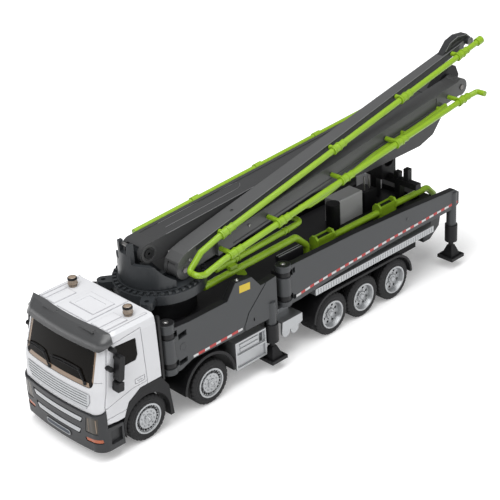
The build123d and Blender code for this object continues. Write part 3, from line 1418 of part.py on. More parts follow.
# columns: side outline, corner radius
mirror_housings = [
    ([(16.8, 57.6), (13.6, 57.2), (15.6, 44.6), (19.0, 45.0)], 1.0),
    ([(19.4, 44.2), (15.6, 43.8), (16.2, 39.2), (20.2, 39.4)], 0.6),
]
mirror_arms = [
    [(18.0, 61.0), (16.4, 61.0), (14.6, 56.0), (16.4, 56.0)],
    [(21.0, 52.0), (19.4, 52.0), (16.0, 48.0), (18.0, 48.0)],
    [(18.4, 46.0), (16.6, 46.0), (16.6, 43.0), (18.4, 43.0)],
]
with BuildPart() as mirrors:
    for outline, radius in mirror_housings:
        with BuildSketch(side(mirror_outer_y)) as housing:
            with BuildLine():
                Polyline(profile(outline), close=True)
            make_face()
            fillet(housing.vertices(), radius)
        extrude(amount=mirror_width)
    for outline in mirror_arms:
        with BuildSketch(side(mirror_outer_y - mirror_width + 1.2)):
            with BuildLine():
                Polyline(profile(outline), close=True)
            make_face()
        extrude(amount=1.2)
    for x, z in ((17.2, 60.2), (20.2, 51.2)):
        add(peg(ahead(x), z, mirror_outer_y - mirror_width + 1.4, body_half_width - 3.0, peg_radius))
    mirror(about=Plane.XZ)
    add(cab_form(0.0), mode=Mode.SUBTRACT)
save(mirrors.part, "mirrors")

# Beacons: a flanged foot under a clear dome
beacon_setback = 1.4
beacon_inset = 9.5
with BuildPart() as beacons:
    beacon_y = body_half_width - beacon_inset
    with BuildSketch(Plane.XZ):
        with BuildLine():
            Polyline((0, 0), (2.7, 0), (2.7, 0.8), (2.2, 1.1), (2.0, 4.2), (1.4, 5.0), (0, 5.2), close=True)
        make_face()
    revolve(axis=Axis.Z)
beacon = beacons.part
with BuildPart() as beacons:
    for y in (beacon_y, -beacon_y):
        add(beacon.moved(Location((behind(beacon_setback), y, cab_roof_z))))
save(beacons.part, "beacons")

# Black linkage and roller at the boom's tip
with BuildPart() as boom_tip:
    with BuildSketch(side(fold_middle_y + 2.0)):
        with BuildLine():
            Polyline(
                profile([(-tip_setback + 18.0, section_3_top(tip_setback - 18.0)), (-tip_setback + 11.6, tip_top_z + 2.6),
                         (-tip_setback + 5.0, tip_top_z + 4.4), (-tip_setback - 3.0, tip_top_z + 3.6),
                         (-tip_setback - 7.0, tip_top_z + 0.5), (-tip_setback, tip_top_z - tip_depth),
                         (-tip_setback, tip_top_z)]),
                close=True,
            )
        make_face()
    extrude(amount=4.0)
    with BuildSketch(side(fold_middle_y + tip_half_width + 1.3)):
        with Locations((behind(tip_setback + 4.4), tip_top_z - 1.0)):
            Circle(2.2)
    extrude(amount=2 * tip_half_width + 2.6)
save(boom_tip.part, "boom_tip")
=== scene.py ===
import json
import math

import bmesh
import bpy
from mathutils import Matrix, Vector
from mathutils.bvhtree import BVHTree


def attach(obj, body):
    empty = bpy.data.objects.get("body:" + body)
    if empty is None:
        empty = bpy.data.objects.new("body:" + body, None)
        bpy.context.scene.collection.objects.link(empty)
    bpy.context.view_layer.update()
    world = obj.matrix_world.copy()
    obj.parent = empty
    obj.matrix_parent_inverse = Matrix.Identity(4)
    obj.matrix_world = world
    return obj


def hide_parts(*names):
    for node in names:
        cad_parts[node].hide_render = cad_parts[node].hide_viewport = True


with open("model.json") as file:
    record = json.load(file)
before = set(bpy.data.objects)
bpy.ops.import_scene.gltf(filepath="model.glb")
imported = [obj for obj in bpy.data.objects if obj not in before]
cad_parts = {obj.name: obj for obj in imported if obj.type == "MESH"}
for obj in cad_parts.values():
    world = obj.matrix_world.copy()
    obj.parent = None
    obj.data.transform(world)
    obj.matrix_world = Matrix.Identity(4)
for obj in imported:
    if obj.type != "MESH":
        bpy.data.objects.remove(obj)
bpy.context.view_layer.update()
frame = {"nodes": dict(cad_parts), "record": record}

# Sizes are written in millimetres and turned into metres here
MM = 0.001

# Places along the truck are measured from the front axle, + ahead of it
front_axle_x = 119.23
body_half_width = 31.0
tyre_radius = 12.3
rim_radius = 8.2
wheel_face_y = 30.6
fold_near_y = 17.0
arm_hinge_setback = 18.0
beam_hinge_setback = 98.0
outrigger_hinge_y = body_half_width - 2.8
# A flat mark is let into its face by this much
mark_sink = 0.02
straight_up = Vector((0, 0, 1))
straight_left = Vector((0, 1, 0))
both_sides = (("left", 1), ("right", -1))
# columns: axle number, distance behind the front axle, tyre width, whether it is a pair
axles = [
    (1, 0.0, 8.6, False),
    (2, 41.8, 8.6, False),
    (3, 131.7, 15.6, True),
    (4, 156.8, 15.6, True),
    (5, 182.9, 15.6, True),
]


def at(ahead, left, up):
    """A point in the frame from millimetres ahead of the front axle, to the left, and up."""
    return Vector(((front_axle_x + ahead) * MM, left * MM, up * MM))


# Camera: the photograph's own viewpoint, fitted to the wheels and the cab's edges
camera_heading = math.radians(-132.361)
camera_dip = math.radians(27.859)
camera_roll = math.radians(-3.371)
camera_place = at(336.87, 480.71, 397.63)
camera_lens = 99.54


def make_camera():
    level = math.cos(camera_dip)
    forward = Vector((level * math.cos(camera_heading), level * math.sin(camera_heading), -math.sin(camera_dip)))
    flat_right = forward.cross(straight_up).normalized()
    flat_up = flat_right.cross(forward)
    right = flat_right * math.cos(camera_roll) + flat_up * math.sin(camera_roll)
    up = flat_up * math.cos(camera_roll) - flat_right * math.sin(camera_roll)
    data = bpy.data.cameras.new("camera")
    data.sensor_width = 36.0
    data.lens = camera_lens
    data.clip_start = 0.01
    data.clip_end = 20.0
    camera = bpy.data.objects.new("camera", data)
    turn = Matrix((right, up, -forward)).transposed().to_4x4()
    camera.matrix_world = Matrix.Translation(camera_place) @ turn
    bpy.context.scene.collection.objects.link(camera)
    bpy.context.scene.camera = camera


# Materials: every one is node-based, with its own grain, mottling and gloss, and on painted pieces edges painted
# lighter as highlights
materials = {}
mottle_scale = 110.0
gloss_spread = 0.06
least_roughness = 0.02
bump_depth = 0.2 * MM
coat_roughness = 0.12
# Cosine between the rounded and the true normal, where an edge's painted highlight starts and where it is full
edge_starts = 0.995
edge_is_full = 0.9
# An edge's painted highlight colour: the piece's own, multiplied and lifted
edge_gain = 2.2
edge_offset = 0.05


def node(tree, kind, **settings):
    made = tree.nodes.new(kind)
    for key, value in settings.items():
        setattr(made, key, value)
    return made


def belly_normal(tree, place, rounding, middle, half_height, lean_share):
    """A flat band reads as rounded: its normals tip up towards the top edge and down towards the lower one."""
    link = tree.links.new
    height = node(tree, "ShaderNodeSeparateXYZ")
    share = node(tree, "ShaderNodeMapRange", clamp=True)
    share.inputs["From Min"].default_value = (middle - half_height) * MM
    share.inputs["From Max"].default_value = (middle + half_height) * MM
    share.inputs["To Min"].default_value = -lean_share
    share.inputs["To Max"].default_value = lean_share
    lift_up = node(tree, "ShaderNodeCombineXYZ")
    summed = node(tree, "ShaderNodeVectorMath", operation="ADD")
    unit = node(tree, "ShaderNodeVectorMath", operation="NORMALIZE")
    link(place.outputs["Object"], height.inputs[0])
    link(height.outputs["Z"], share.inputs["Value"])
    link(share.outputs["Result"], lift_up.inputs["Z"])
    link(rounding.outputs["Normal"], summed.inputs[0])
    link(lift_up.outputs[0], summed.inputs[1])
    link(summed.outputs[0], unit.inputs[0])
    return unit.outputs[0]


def paint_edge_highlight(tree, paint, rounding, colour, painted_edge_lift):
    """Painted highlight: edges are painted lighter, where a painted casting's rounded edges would catch more light.
    """
    link = tree.links.new
    geometry = node(tree, "ShaderNodeNewGeometry")
    lean = node(tree, "ShaderNodeVectorMath", operation="DOT_PRODUCT")
    edge_highlight_share = node(tree, "ShaderNodeMapRange")
    edge_highlight_share.inputs["From Min"].default_value = edge_starts
    edge_highlight_share.inputs["From Max"].default_value = edge_is_full
    edge_highlight_share.inputs["To Max"].default_value = painted_edge_lift
    lift = node(tree, "ShaderNodeMix", data_type="RGBA")
    lift.inputs["B"].default_value = [min(1.0, c * edge_gain + edge_offset) for c in colour] + [1.0]
    link(rounding.outputs["Normal"], lean.inputs[0])
    link(geometry.outputs["True Normal"], lean.inputs[1])
    link(lean.outputs["Value"], edge_highlight_share.inputs["Value"])
    link(edge_highlight_share.outputs["Result"], lift.inputs["Factor"])
    link(paint, lift.inputs["A"])
    return lift.outputs["Result"]


def surface(name, colour, roughness, metallic=0.0, grain_mm=0.35, grain=0.06, mottle=0.05, coat=0.0, alpha=1.0,
            edge_mm=0.22, painted_edge_lift=0.0, specular=0.5, belly=None):
    """A moulded, painted or plated finish: rounded edges, fine grain in the bump, mottled colour and gloss, and if
    asked a painted highlight on the edges.

    belly, if given, is the middle and half of a band's height, and how far its normals tip.
    """
    material = bpy.data.materials.new(name)
    material.use_nodes = True
    tree = material.node_tree
    link = tree.links.new
    shader = tree.nodes["Principled BSDF"]
    place = node(tree, "ShaderNodeTexCoord")
    slow = node(tree, "ShaderNodeTexNoise")
    slow.inputs["Scale"].default_value = mottle_scale
    slow.inputs["Detail"].default_value = 4.0
    fine = node(tree, "ShaderNodeTexNoise")
    fine.inputs["Scale"].default_value = 1.0 / (grain_mm * MM)
    fine.inputs["Detail"].default_value = 2.0
    tint = node(tree, "ShaderNodeMix", data_type="RGBA")
    tint.inputs["A"].default_value = [c * (1.0 - mottle) for c in colour] + [1.0]
    tint.inputs["B"].default_value = [min(1.0, c * (1.0 + mottle)) for c in colour] + [1.0]
    gloss = node(tree, "ShaderNodeMapRange")
    gloss.inputs["To Min"].default_value = max(least_roughness, roughness - gloss_spread)
    gloss.inputs["To Max"].default_value = roughness + gloss_spread
    rounding = node(tree, "ShaderNodeBevel", samples=4)
    rounding.inputs["Radius"].default_value = edge_mm * MM
    bump = node(tree, "ShaderNodeBump")
    bump.inputs["Strength"].default_value = grain
    bump.inputs["Distance"].default_value = bump_depth
    link(place.outputs["Object"], slow.inputs["Vector"])
    link(place.outputs["Object"], fine.inputs["Vector"])
    link(slow.outputs["Fac"], tint.inputs["Factor"])
    link(slow.outputs["Fac"], gloss.inputs["Value"])
    link(fine.outputs["Fac"], bump.inputs["Height"])
    normal = belly_normal(tree, place, rounding, *belly) if belly else rounding.outputs["Normal"]
    link(normal, bump.inputs["Normal"])
    link(gloss.outputs["Result"], shader.inputs["Roughness"])
    link(bump.outputs["Normal"], shader.inputs["Normal"])
    paint = tint.outputs["Result"]
    # Painted highlight: the colour is painted lighter along the edges
    if painted_edge_lift:
        paint = paint_edge_highlight(tree, paint, rounding, colour, painted_edge_lift)
    link(paint, shader.inputs["Base Color"])
    shader.inputs["Metallic"].default_value = metallic
    shader.inputs["Coat Weight"].default_value = coat
    shader.inputs["Coat Roughness"].default_value = coat_roughness
    shader.inputs["Specular IOR Level"].default_value = specular
    shader.inputs["Alpha"].default_value = alpha
    materials[name] = material


def make_materials():
    surface("tyre", (0.02, 0.02, 0.021), 0.66, grain_mm=0.25, grain=0.3, edge_mm=0.12, specular=0.25)
    surface("rim_silver", (0.4, 0.41, 0.42), 0.36, metallic=0.7, grain=0.05, edge_mm=0.15)
    surface("cab_white", (0.66, 0.665, 0.685), 0.3, coat=0.3, grain=0.03, mottle=0.015, edge_mm=0.3)
    # A grey painted as the shadows at the foot of the roof's raised panels
    surface("roof_shadow_grey", (0.4, 0.4, 0.42), 0.5, grain=0.03, edge_mm=0.05)
    surface("panel_grey", (0.047, 0.05, 0.053), 0.42, coat=0.05, grain=0.12, painted_edge_lift=0.22, specular=0.3)
    surface("casting_grey", (0.026, 0.029, 0.032), 0.38, coat=0.08, grain=0.12, painted_edge_lift=0.22, specular=0.35)
    # The boom's own grey paint, lifted above its tone as painted light where light from above falls on the second and
    # third sections
    surface("boom_grey", (0.08, 0.081, 0.082), 0.4, coat=0.08, grain=0.12, painted_edge_lift=0.22, specular=0.3)
    # The same boom paint darkened as painted shade, for the first section
    surface("boom_painted_shade", (0.043, 0.0435, 0.0445), 0.42, coat=0.06, grain=0.12, painted_edge_lift=0.3, specular=0.3)
    # A dark grey painted as shade on the third section's web
    surface("web_painted_shade", (0.03, 0.031, 0.032), 0.5, grain=0.12, specular=0.2)
    # A light grey painted as highlights along edges
    surface("highlight_grey", (0.16, 0.16, 0.165), 0.4, grain=0.1, edge_mm=0.08)
    surface("frame_black", (0.009, 0.009, 0.01), 0.46, grain=0.14, painted_edge_lift=0.08, specular=0.22)
    # The visor's dark plastic, partly lifted as a painted sheen
    surface("visor_painted_sheen", (0.06, 0.061, 0.063), 0.3, coat=0.25, grain=0.1, specular=0.6, belly=(63.4, 3.6, 1.1))
    surface("trim_dark", (0.026, 0.027, 0.029), 0.42, grain=0.1, painted_edge_lift=0.1, specular=0.35)
    surface("lime_green", (0.24, 0.4, 0.018), 0.36, coat=0.1, grain=0.08, specular=0.4)
    surface("pin_silver", (0.34, 0.335, 0.33), 0.3, metallic=0.95, edge_mm=0.12)
    surface("pin_dark", (0.16, 0.15, 0.145), 0.32, metallic=0.9, edge_mm=0.12)
    surface("glass_smoke", (0.006, 0.005, 0.004), 0.08, grain=0.01, alpha=0.965, edge_mm=0.05, specular=0.07)
    surface("lamp_clear", (0.055, 0.047, 0.036), 0.16, coat=0.1, grain=0.02, edge_mm=0.2, specular=0.3)
    surface("lamp_orange", (0.46, 0.09, 0.015), 0.2, coat=0.3, grain=0.02)
    surface("dome_smoke", (0.3, 0.23, 0.17), 0.12, coat=0.5, grain=0.02, alpha=0.85)
    surface("seat_tan", (0.4, 0.3, 0.2), 0.5)
    surface("glass_edge", (0.25, 0.17, 0.11), 0.25, coat=0.3, grain=0.02, edge_mm=0.05)
    surface("locker_grey", (0.5, 0.5, 0.51), 0.4, grain=0.1, painted_edge_lift=0.3)
    surface("mark_red", (0.45, 0.028, 0.025), 0.4, grain=0.04, edge_mm=0.02)
    surface("mark_white", (0.62, 0.62, 0.62), 0.4, grain=0.04, edge_mm=0.02)
    surface("mark_yellow", (0.66, 0.48, 0.02), 0.4, grain=0.04, mottle=0.12, edge_mm=0.02)
    surface("plate_dark", (0.03, 0.04, 0.06), 0.35, grain=0.04, edge_mm=0.05, specular=0.3)


# Nodes whose visible finish is a shade of their slot's
shades = {
    "turret": "casting_grey", "slew_ring": "casting_grey", "front_fold_pin": "pin_dark", "rear_fold_pin": "pin_dark",
    # The first section's beam takes the boom paint's darker copy, painted shade
    "deck_lockers": "locker_grey", "sun_visor": "visor_painted_sheen", "boom_tip": "trim_dark", "boom_1_beam": "boom_painted_shade",
}


def dress_nodes():
    """Each CAD node takes its slot's finish, or a shade of it."""
    for row in frame["record"]["subparts"]:
        solid = frame["nodes"][row["node"]]
        finish = shades.get(row["node"], row["material_slot"])
        solid.data.materials.clear()
        solid.data.materials.append(materials[finish])


# Pieces: small meshes, placed straight in the frame
def piece(name, mesh, finish, body):
    """An added piece that rides on a body; its slot is its finish's name."""
    data = bpy.data.meshes.new(name)
    bmesh.ops.recalc_face_normals(mesh, faces=mesh.faces)
    mesh.to_mesh(data)
    mesh.free()
    data.materials.append(materials[finish])
    made = bpy.data.objects.new(name, data)
    bpy.context.scene.collection.objects.link(made)
    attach(made, body)
    return made


def add_plate(mesh, outline, low, thickness, sideways):
    """A flat plate from (x, z) places, standing on the plane y = low; sideways is 1 for left and -1 for right."""
    rings = []
    for depth in (0.0, thickness):
        rings.append([mesh.verts.new(at(x, sideways * (low + depth), z)) for x, z in outline])
    mesh.faces.new(rings[1])
    mesh.faces.new(rings[0])
    count = len(outline)
    for index in range(count):
        after = (index + 1) % count
        mesh.faces.new((rings[0][index], rings[0][after], rings[1][after], rings[1][index]))


def add_turned(mesh, centre, axis, section, count=24):
    """A solid of revolution from (radius, height) pairs about an axis through a point."""
    across = axis.orthogonal().normalized()
    upward = axis.cross(across)
    rings = []
    for radius, height in section:
        if radius == 0:
            rings.append([mesh.verts.new(centre + axis * height * MM)])
            continue
        ring = []
        for index in range(count):
            turn = 2 * math.pi * index / count
            out = across * math.cos(turn) + upward * math.sin(turn)
            ring.append(mesh.verts.new(centre + (out * radius + axis * height) * MM))
        rings.append(ring)
    for lower, upper in zip(rings, rings[1:]):
        for index in range(count):
            after = (index + 1) % count
            if len(lower) == 1 and len(upper) > 1:
                mesh.faces.new((lower[0], upper[after], upper[index]))
            elif len(upper) == 1 and len(lower) > 1:
                mesh.faces.new((lower[index], lower[after], upper[0]))
            elif len(lower) > 1:
                mesh.faces.new((lower[index], lower[after], upper[after], upper[index]))


def add_rod(mesh, points, radius, sides=8):
    """A round rod along a few points, closed at both ends."""
    rings = []
    for index, point in enumerate(points):
        before = points[max(index - 1, 0)]
        after = points[min(index + 1, len(points) - 1)]
        heading = (after - before).normalized()
        across = heading.orthogonal().normalized()
        upward = heading.cross(across)
        ring = []
        for k in range(sides):
            turn = 2 * math.pi * k / sides
            out = across * math.cos(turn) + upward * math.sin(turn)
            ring.append(mesh.verts.new(point + out * radius * MM))
        rings.append(ring)
    for lower, upper in zip(rings, rings[1:]):
        nearest = min(range(sides), key=lambda k: (upper[k].co - lower[0].co).length)
        for index in range(sides):
            after = (index + 1) % sides
            mesh.faces.new((lower[index], lower[after],
                            upper[(after + nearest) % sides], upper[(index + nearest) % sides]))
    mesh.faces.new(rings[0])
    mesh.faces.new(rings[-1])


def add_block(mesh, low, high):
    """A box between two corners given as (ahead, left, up)."""
    corners = []
    for x in (low[0], high[0]):
        for y in (low[1], high[1]):
            corners += [mesh.verts.new(at(x, y, z)) for z in (low[2], high[2])]
    for face in ((0, 1, 3, 2), (4, 6, 7, 5), (0, 4, 5, 1), (2, 3, 7, 6), (0, 2, 6, 4), (1, 5, 7, 3)):
        mesh.faces.new([corners[k] for k in face])


def add_sheet(mesh, stations, thickness):
    """A thin sheet on a near side: stations of (x, y, low z, high z), standing off towards +y."""
    rings = []
    for x, y, low, high in stations:
        corners = ((0, low), (0, high), (thickness, high), (thickness, low))
        rings.append([mesh.verts.new(at(x, y + out, z)) for out, z in corners])
    for ring, after in zip(rings, rings[1:]):
        for k in range(4):
            mesh.faces.new((ring[k], ring[(k + 1) % 4], after[(k + 1) % 4], after[k]))
    mesh.faces.new(rings[0])
    mesh.faces.new(rings[-1])


# Tyres: a grooved crown with notched shoulders, and a stepped sidewall
crown_segments = 120
notch_every = 4
notch_depth = 0.4
shoulder_width = 1.3
land_share = 0.1
groove_count = 3
groove_width = 0.4
groove_depth = 0.45
groove_wall = 0.02
half_twin_gap = 0.15


def tyre_section(inner_y, outer_y):
    """One tyre as (y, radius, notched) triples, from the outer bead over the crown to the inner bead."""
    width = outer_y - inner_y
    shoulder = tyre_radius - 1.1
    crown_y = outer_y - shoulder_width
    land_y = crown_y - land_share * width
    side = [
        (outer_y - 0.1, rim_radius, False), (outer_y, rim_radius + 0.5, False), (outer_y, rim_radius + 0.9, False),
        (outer_y - 0.12, rim_radius + 1.0, False), (outer_y - 0.05, rim_radius + 2.0, False),
        (outer_y - 0.2, rim_radius + 2.1, False), (outer_y - 0.5, shoulder, False),
        (outer_y - 0.9, tyre_radius - 0.35, True), (crown_y, tyre_radius, True), (land_y, tyre_radius, True),
    ]
    crown = []
    grooved_width = width - 2 * (outer_y - land_y)
    land = (grooved_width - groove_count * groove_width) / (groove_count - 1)
    bed = tyre_radius - groove_depth
    y = land_y
    for index in range(groove_count):
        crown += [(y - groove_wall, bed, False), (y - groove_width + groove_wall, bed, False)]
        y -= groove_width
        crown.append((y, tyre_radius, False))
        if index < groove_count - 1:
            y -= land
            crown.append((y, tyre_radius, False))
    other = [(inner_y + outer_y - place, radius, notched) for place, radius, notched in reversed(side)]
    return side + crown + other[1:]


def add_tyre(mesh, setback, inner_y, outer_y, sideways):
    """One tyre on one side, its section carried round the wheel with a notch at every fourth step."""
    section = tyre_section(inner_y, outer_y)
    rings = []
    for index in range(crown_segments):
        turn = 2 * math.pi * index / crown_segments
        ring = []
        for y, radius, notched in section:
            if notched and index % notch_every == 0:
                radius -= notch_depth
            place = at(radius * math.cos(turn) - setback, sideways * y, tyre_radius + radius * math.sin(turn))
            ring.append(mesh.verts.new(place))
        rings.append(ring)
    for index in range(crown_segments):
        ring = rings[index]
        after = rings[(index + 1) % crown_segments]
        for k in range(len(section) - 1):
            mesh.faces.new((ring[k], ring[k + 1], after[k + 1], after[k]))


def make_tyres():
    for number, setback, width, pair in axles:
        mesh = bmesh.new()
        inner_y = wheel_face_y - width
        for sideways in (1, -1):
            if pair:
                middle = (inner_y + wheel_face_y) / 2
                add_tyre(mesh, setback, middle + half_twin_gap, wheel_face_y, sideways)
                add_tyre(mesh, setback, inner_y, middle - half_twin_gap, sideways)
            else:
                add_tyre(mesh, setback, inner_y, wheel_face_y, sideways)
        made = piece(f"tread_{number}", mesh, "tyre", f"axle_{number}")
        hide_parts(f"tyres_{number}")


def add_disc(mesh, setback, y, radii, holes, sideways):
    """A flat ring across a wheel with a circle of round holes through it."""
    inner_radius, outer_radius = radii
    hole_circle, hole_radius, hole_count = holes
    hoops = [(0.0, 0.0, outer_radius, 48), (0.0, 0.0, inner_radius, 24)]
    for index in range(hole_count):
        turn = 2 * math.pi * (index + 0.5) / hole_count
        hoops.append((hole_circle * math.cos(turn), hole_circle * math.sin(turn), hole_radius, 14))
    edges = []
    for x, z, radius, count in hoops:
        ring = []
        for k in range(count):
            turn = 2 * math.pi * k / count
            ring.append(mesh.verts.new(at(x + radius * math.cos(turn) - setback, sideways * y,
                                          tyre_radius + z + radius * math.sin(turn))))
        for k in range(count):
            edges.append(mesh.edges.new((ring[k], ring[(k + 1) % count])))
    bmesh.ops.triangle_fill(mesh, use_beauty=True, edges=edges)


def around(centre, radius, count):
    """Places on an upright circle, half a step round from its foremost point."""
    for index in range(count):
        turn = 2 * math.pi * (index + 0.5) / count
        yield centre + Vector((math.cos(turn), 0, math.sin(turn))) * radius * MM


# columns: circle of the nuts, their seat from the wheel's face, height and count, seat of the hub's ring
front_nuts = (4.0, -0.1, 0.7, 10, 0.65)
rear_nuts = (3.3, -2.3, 0.8, 8, -1.5)
# A rear disc's inner and outer radius; the circle, radius and count of its holes
disc_radii = (2.5, 6.3)
disc_holes = (4.9, 0.8, 8)
# A front wheel's holes: their depth from its face, circle and count
front_hole_depth = -0.95
front_hole_circle = 6.15
front_hole_count = 12


def make_wheel_details():
    """Each wheel's disc with its holes, a circle of nuts, a stepped ring on the hub, and dark discs painted as the
    shade in and behind the holes.
    """
    hub_ring = [(1.9, -1.0), (1.9, 0.35), (1.6, 0.45), (1.45, 0.25), (1.45, -0.1)]
    dish_wall = [(7.3, -0.6), (7.2, -0.3), (6.7, -1.2), (6.3, -2.3)]
    # Painted shade: a dark disc behind each rear disc's holes, and a dark disc in each front wheel's hole
    dish_shade = [(5.9, -3.4), (5.9, -3.3), (2.4, -3.3)]
    front_hole_shade = [(0.72, 0.0), (0.72, 0.36), (0, 0.36)]
    for number, setback, _, pair in axles:
        nut_circle, nut_seat, nut_height, nut_count, ring_seat = rear_nuts if pair else front_nuts
        nut = [(0.42, -0.2), (0.42, nut_height * 0.7), (0.25, nut_height), (0, nut_height)]
        mesh = bmesh.new()
        shade = bmesh.new()
        for sideways in (1, -1):
            axis = straight_left * sideways
            face, nuts_place, ring_place, holes_place = [
                at(-setback, sideways * (wheel_face_y + depth), tyre_radius)
                for depth in (0.0, nut_seat, ring_seat, front_hole_depth)
            ]
            for place in around(nuts_place, nut_circle, nut_count):
                add_turned(mesh, place, axis, nut, 6)
            add_turned(mesh, ring_place, axis, hub_ring, 24)
            if pair:
                add_disc(mesh, setback, wheel_face_y + nut_seat, disc_radii, disc_holes, sideways)
                add_turned(mesh, face, axis, dish_wall, 48)
                add_turned(shade, face, axis, dish_shade, 24)
            else:
                for place in around(holes_place, front_hole_circle, front_hole_count):
                    add_turned(shade, place, axis, front_hole_shade, 12)
        piece(f"wheel_nuts_{number}", mesh, "rim_silver", f"axle_{number}")
        piece(f"wheel_hole_shade_{number}", shade, "frame_black", f"axle_{number}")


def make_beacons():
    """Two clear domes: a waisted cup with a dark ring let into its top, and another round its waist."""
    dome_radius = 2.7
    dome = [(0, 0), (2.1, 0), (2.2, 0.3), (2.15, 1.0), (2.62, 1.5), (2.66, 1.9), (2.5, 2.3), (2.42, 4.3), (2.2, 4.8),
            (1.7, 5.1), (0, 5.2)]
    top_ring = [(2.48, 3.9), (2.52, 4.1), (2.5, 4.5), (2.28, 4.95), (2.1, 5.05), (2.0, 4.9), (2.2, 4.5)]
    waist_ring = [(2.2, 0.98), (2.5, 1.25), (2.3, 1.35)]
    domes = bmesh.new()
    rings = bmesh.new()
    plain = frame["nodes"]["beacons"]
    corners = [plain.matrix_world @ Vector(c) for c in plain.bound_box]
    low = min(c.z for c in corners)
    side_y = max(c.y for c in corners) - dome_radius * MM
    middle_x = (min(c.x for c in corners) + max(c.x for c in corners)) / 2
    for sideways in (1, -1):
        foot = Vector((middle_x, sideways * side_y, low))
        add_turned(domes, foot, straight_up, dome, 32)
        add_turned(rings, foot, straight_up, top_ring, 32)
        add_turned(rings, foot, straight_up, waist_ring, 32)
    made = piece("beacon_domes", domes, "dome_smoke", "chassis")
    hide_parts("beacons")
    piece("beacon_rings", rings, "frame_black", "chassis")


# Surfaces to lay thin things on: the nearest hit of a ray from straight ahead
ray_start = 60.0


def skin_of(name):
    """A CAD node's surface, ready for rays."""
    data = frame["nodes"][name].data
    data.calc_loop_triangles()
    points = [v.co.copy() for v in data.vertices]
    return BVHTree.FromPolygons(points, [tuple(t.vertices) for t in data.loop_triangles])


def laid(tree, y, z, lift):
    """The point of a skin seen from ahead at (y, z), lifted off it in millimetres."""
    hit, normal, _, _ = tree.ray_cast(at(ray_start, y, z), Vector((-1, 0, 0)))
    if hit is None:
        return None
    if normal.x < 0:
        normal = -normal
    return hit + normal * lift * MM


def rounded(corners, radius, steps=5):
    """A closed (y, z) outline with each corner turned on an arc."""
    outline = []
    count = len(corners)
    for index in range(count):
        here = Vector(corners[index])
        before = (Vector(corners[index - 1]) - here).normalized()
        after = (Vector(corners[(index + 1) % count]) - here).normalized()
        for k in range(steps + 1):
            share = k / steps
            start = here + before * radius
            end = here + after * radius
            outline.append(tuple(start * (1 - share) ** 2 + here * 2 * share * (1 - share) + end * share ** 2))
    return outline


def dense(outline, step):
    """The same closed outline with points about a step apart."""
    points = []
    count = len(outline)
    for index in range(count):
        start = Vector(outline[index])
        end = Vector(outline[(index + 1) % count])
        parts = max(1, int((end - start).length / step))
        points += [tuple(start.lerp(end, k / parts)) for k in range(parts)]
    return points


def add_band(mesh, tree, outer, inner, lift):
    """A thin band between two outlines of the same number of points, laid on a skin."""
    rows = []
    for outline in (outer, inner):
        rows.append([laid(tree, y, z, lift) for y, z in outline])
    verts = [[mesh.verts.new(p) if p is not None else None for p in row] for row in rows]
    count = len(outer)
    for index in range(count):
        corner = (verts[0][index], verts[0][(index + 1) % count], verts[1][(index + 1) % count], verts[1][index])
        if None not in corner:
            mesh.faces.new(corner)


def make_screen_edge(tree):
    """The tan edge of the smoked windscreen, wider at its foot and on its right."""
    half = body_half_width - 4.7
    narrowing = 0.9
    centre_z = 50.8
    half_height = 10.0
    low = centre_z - half_height
    high = centre_z + half_height
    corners = [(-half, low), (half, low), (half - narrowing, high), (narrowing - half, high)]
    outer = dense(rounded(corners, 3.4), 1.5)
    inner = []
    for y, z in outer:
        side_width = 1.0 if y > 0 else 1.7
        foot_width = 2.1 if z < centre_z else 0.6
        inner.append((y * (1 - side_width / half), z + (centre_z - z) * foot_width / half_height))
    mesh = bmesh.new()
    add_band(mesh, tree, outer, inner, 0.06)
    piece("screen_edge", mesh, "glass_edge", "chassis")


def make_wipers(tree):
    """Two wipers parked across the windscreen: an arm, and a blade of two rods joined by three links."""
    blade_bow = 0.7
    blade_lift = 0.9
    painted_edge_lift = 0.45
    mesh = bmesh.new()
    # columns: pivot, elbow and end of the blade as (y, z)
    for pivot, elbow, end in (
        ((-5.1, 41.7), (-11.1, 47.1), (-25.4, 46.2)), ((21.0, 42.2), (15.9, 47.8), (-4.6, 47.2)),
    ):
        middle = ((pivot[0] + elbow[0]) / 2, (pivot[1] + elbow[1]) / 2)
        add_rod(mesh, [laid(tree, *pivot, 0.5), laid(tree, *middle, 0.8), laid(tree, *elbow, 0.9)], 0.42)

        def along_blade(share, drop, lift):
            y = elbow[0] + (end[0] - elbow[0]) * share
            z = elbow[1] + (end[1] - elbow[1]) * share + blade_bow * math.sin(math.pi * share) - drop
            return laid(tree, y, z, lift)

        for drop, radius, lift in ((0.0, 0.3, blade_lift), (1.15, 0.24, painted_edge_lift)):
            add_rod(mesh, [along_blade(k / 6, drop, lift) for k in range(7)], radius)
        for share in (0.0, 0.5, 0.97):
            add_rod(mesh, [along_blade(share, 0.0, blade_lift), along_blade(share, 1.2, painted_edge_lift)], 0.24)
        axis = Vector((0.95, 0, 0.3)).normalized()
        add_turned(mesh, laid(tree, *pivot, -0.1), axis, [(1.0, 0), (1.0, 0.6), (0.6, 1.1), (0, 1.1)], 16)
    piece("wipers", mesh, "frame_black", "chassis")


def make_screen_trim():
    tree = skin_of("windscreen")
    make_screen_edge(tree)
    make_wipers(tree)


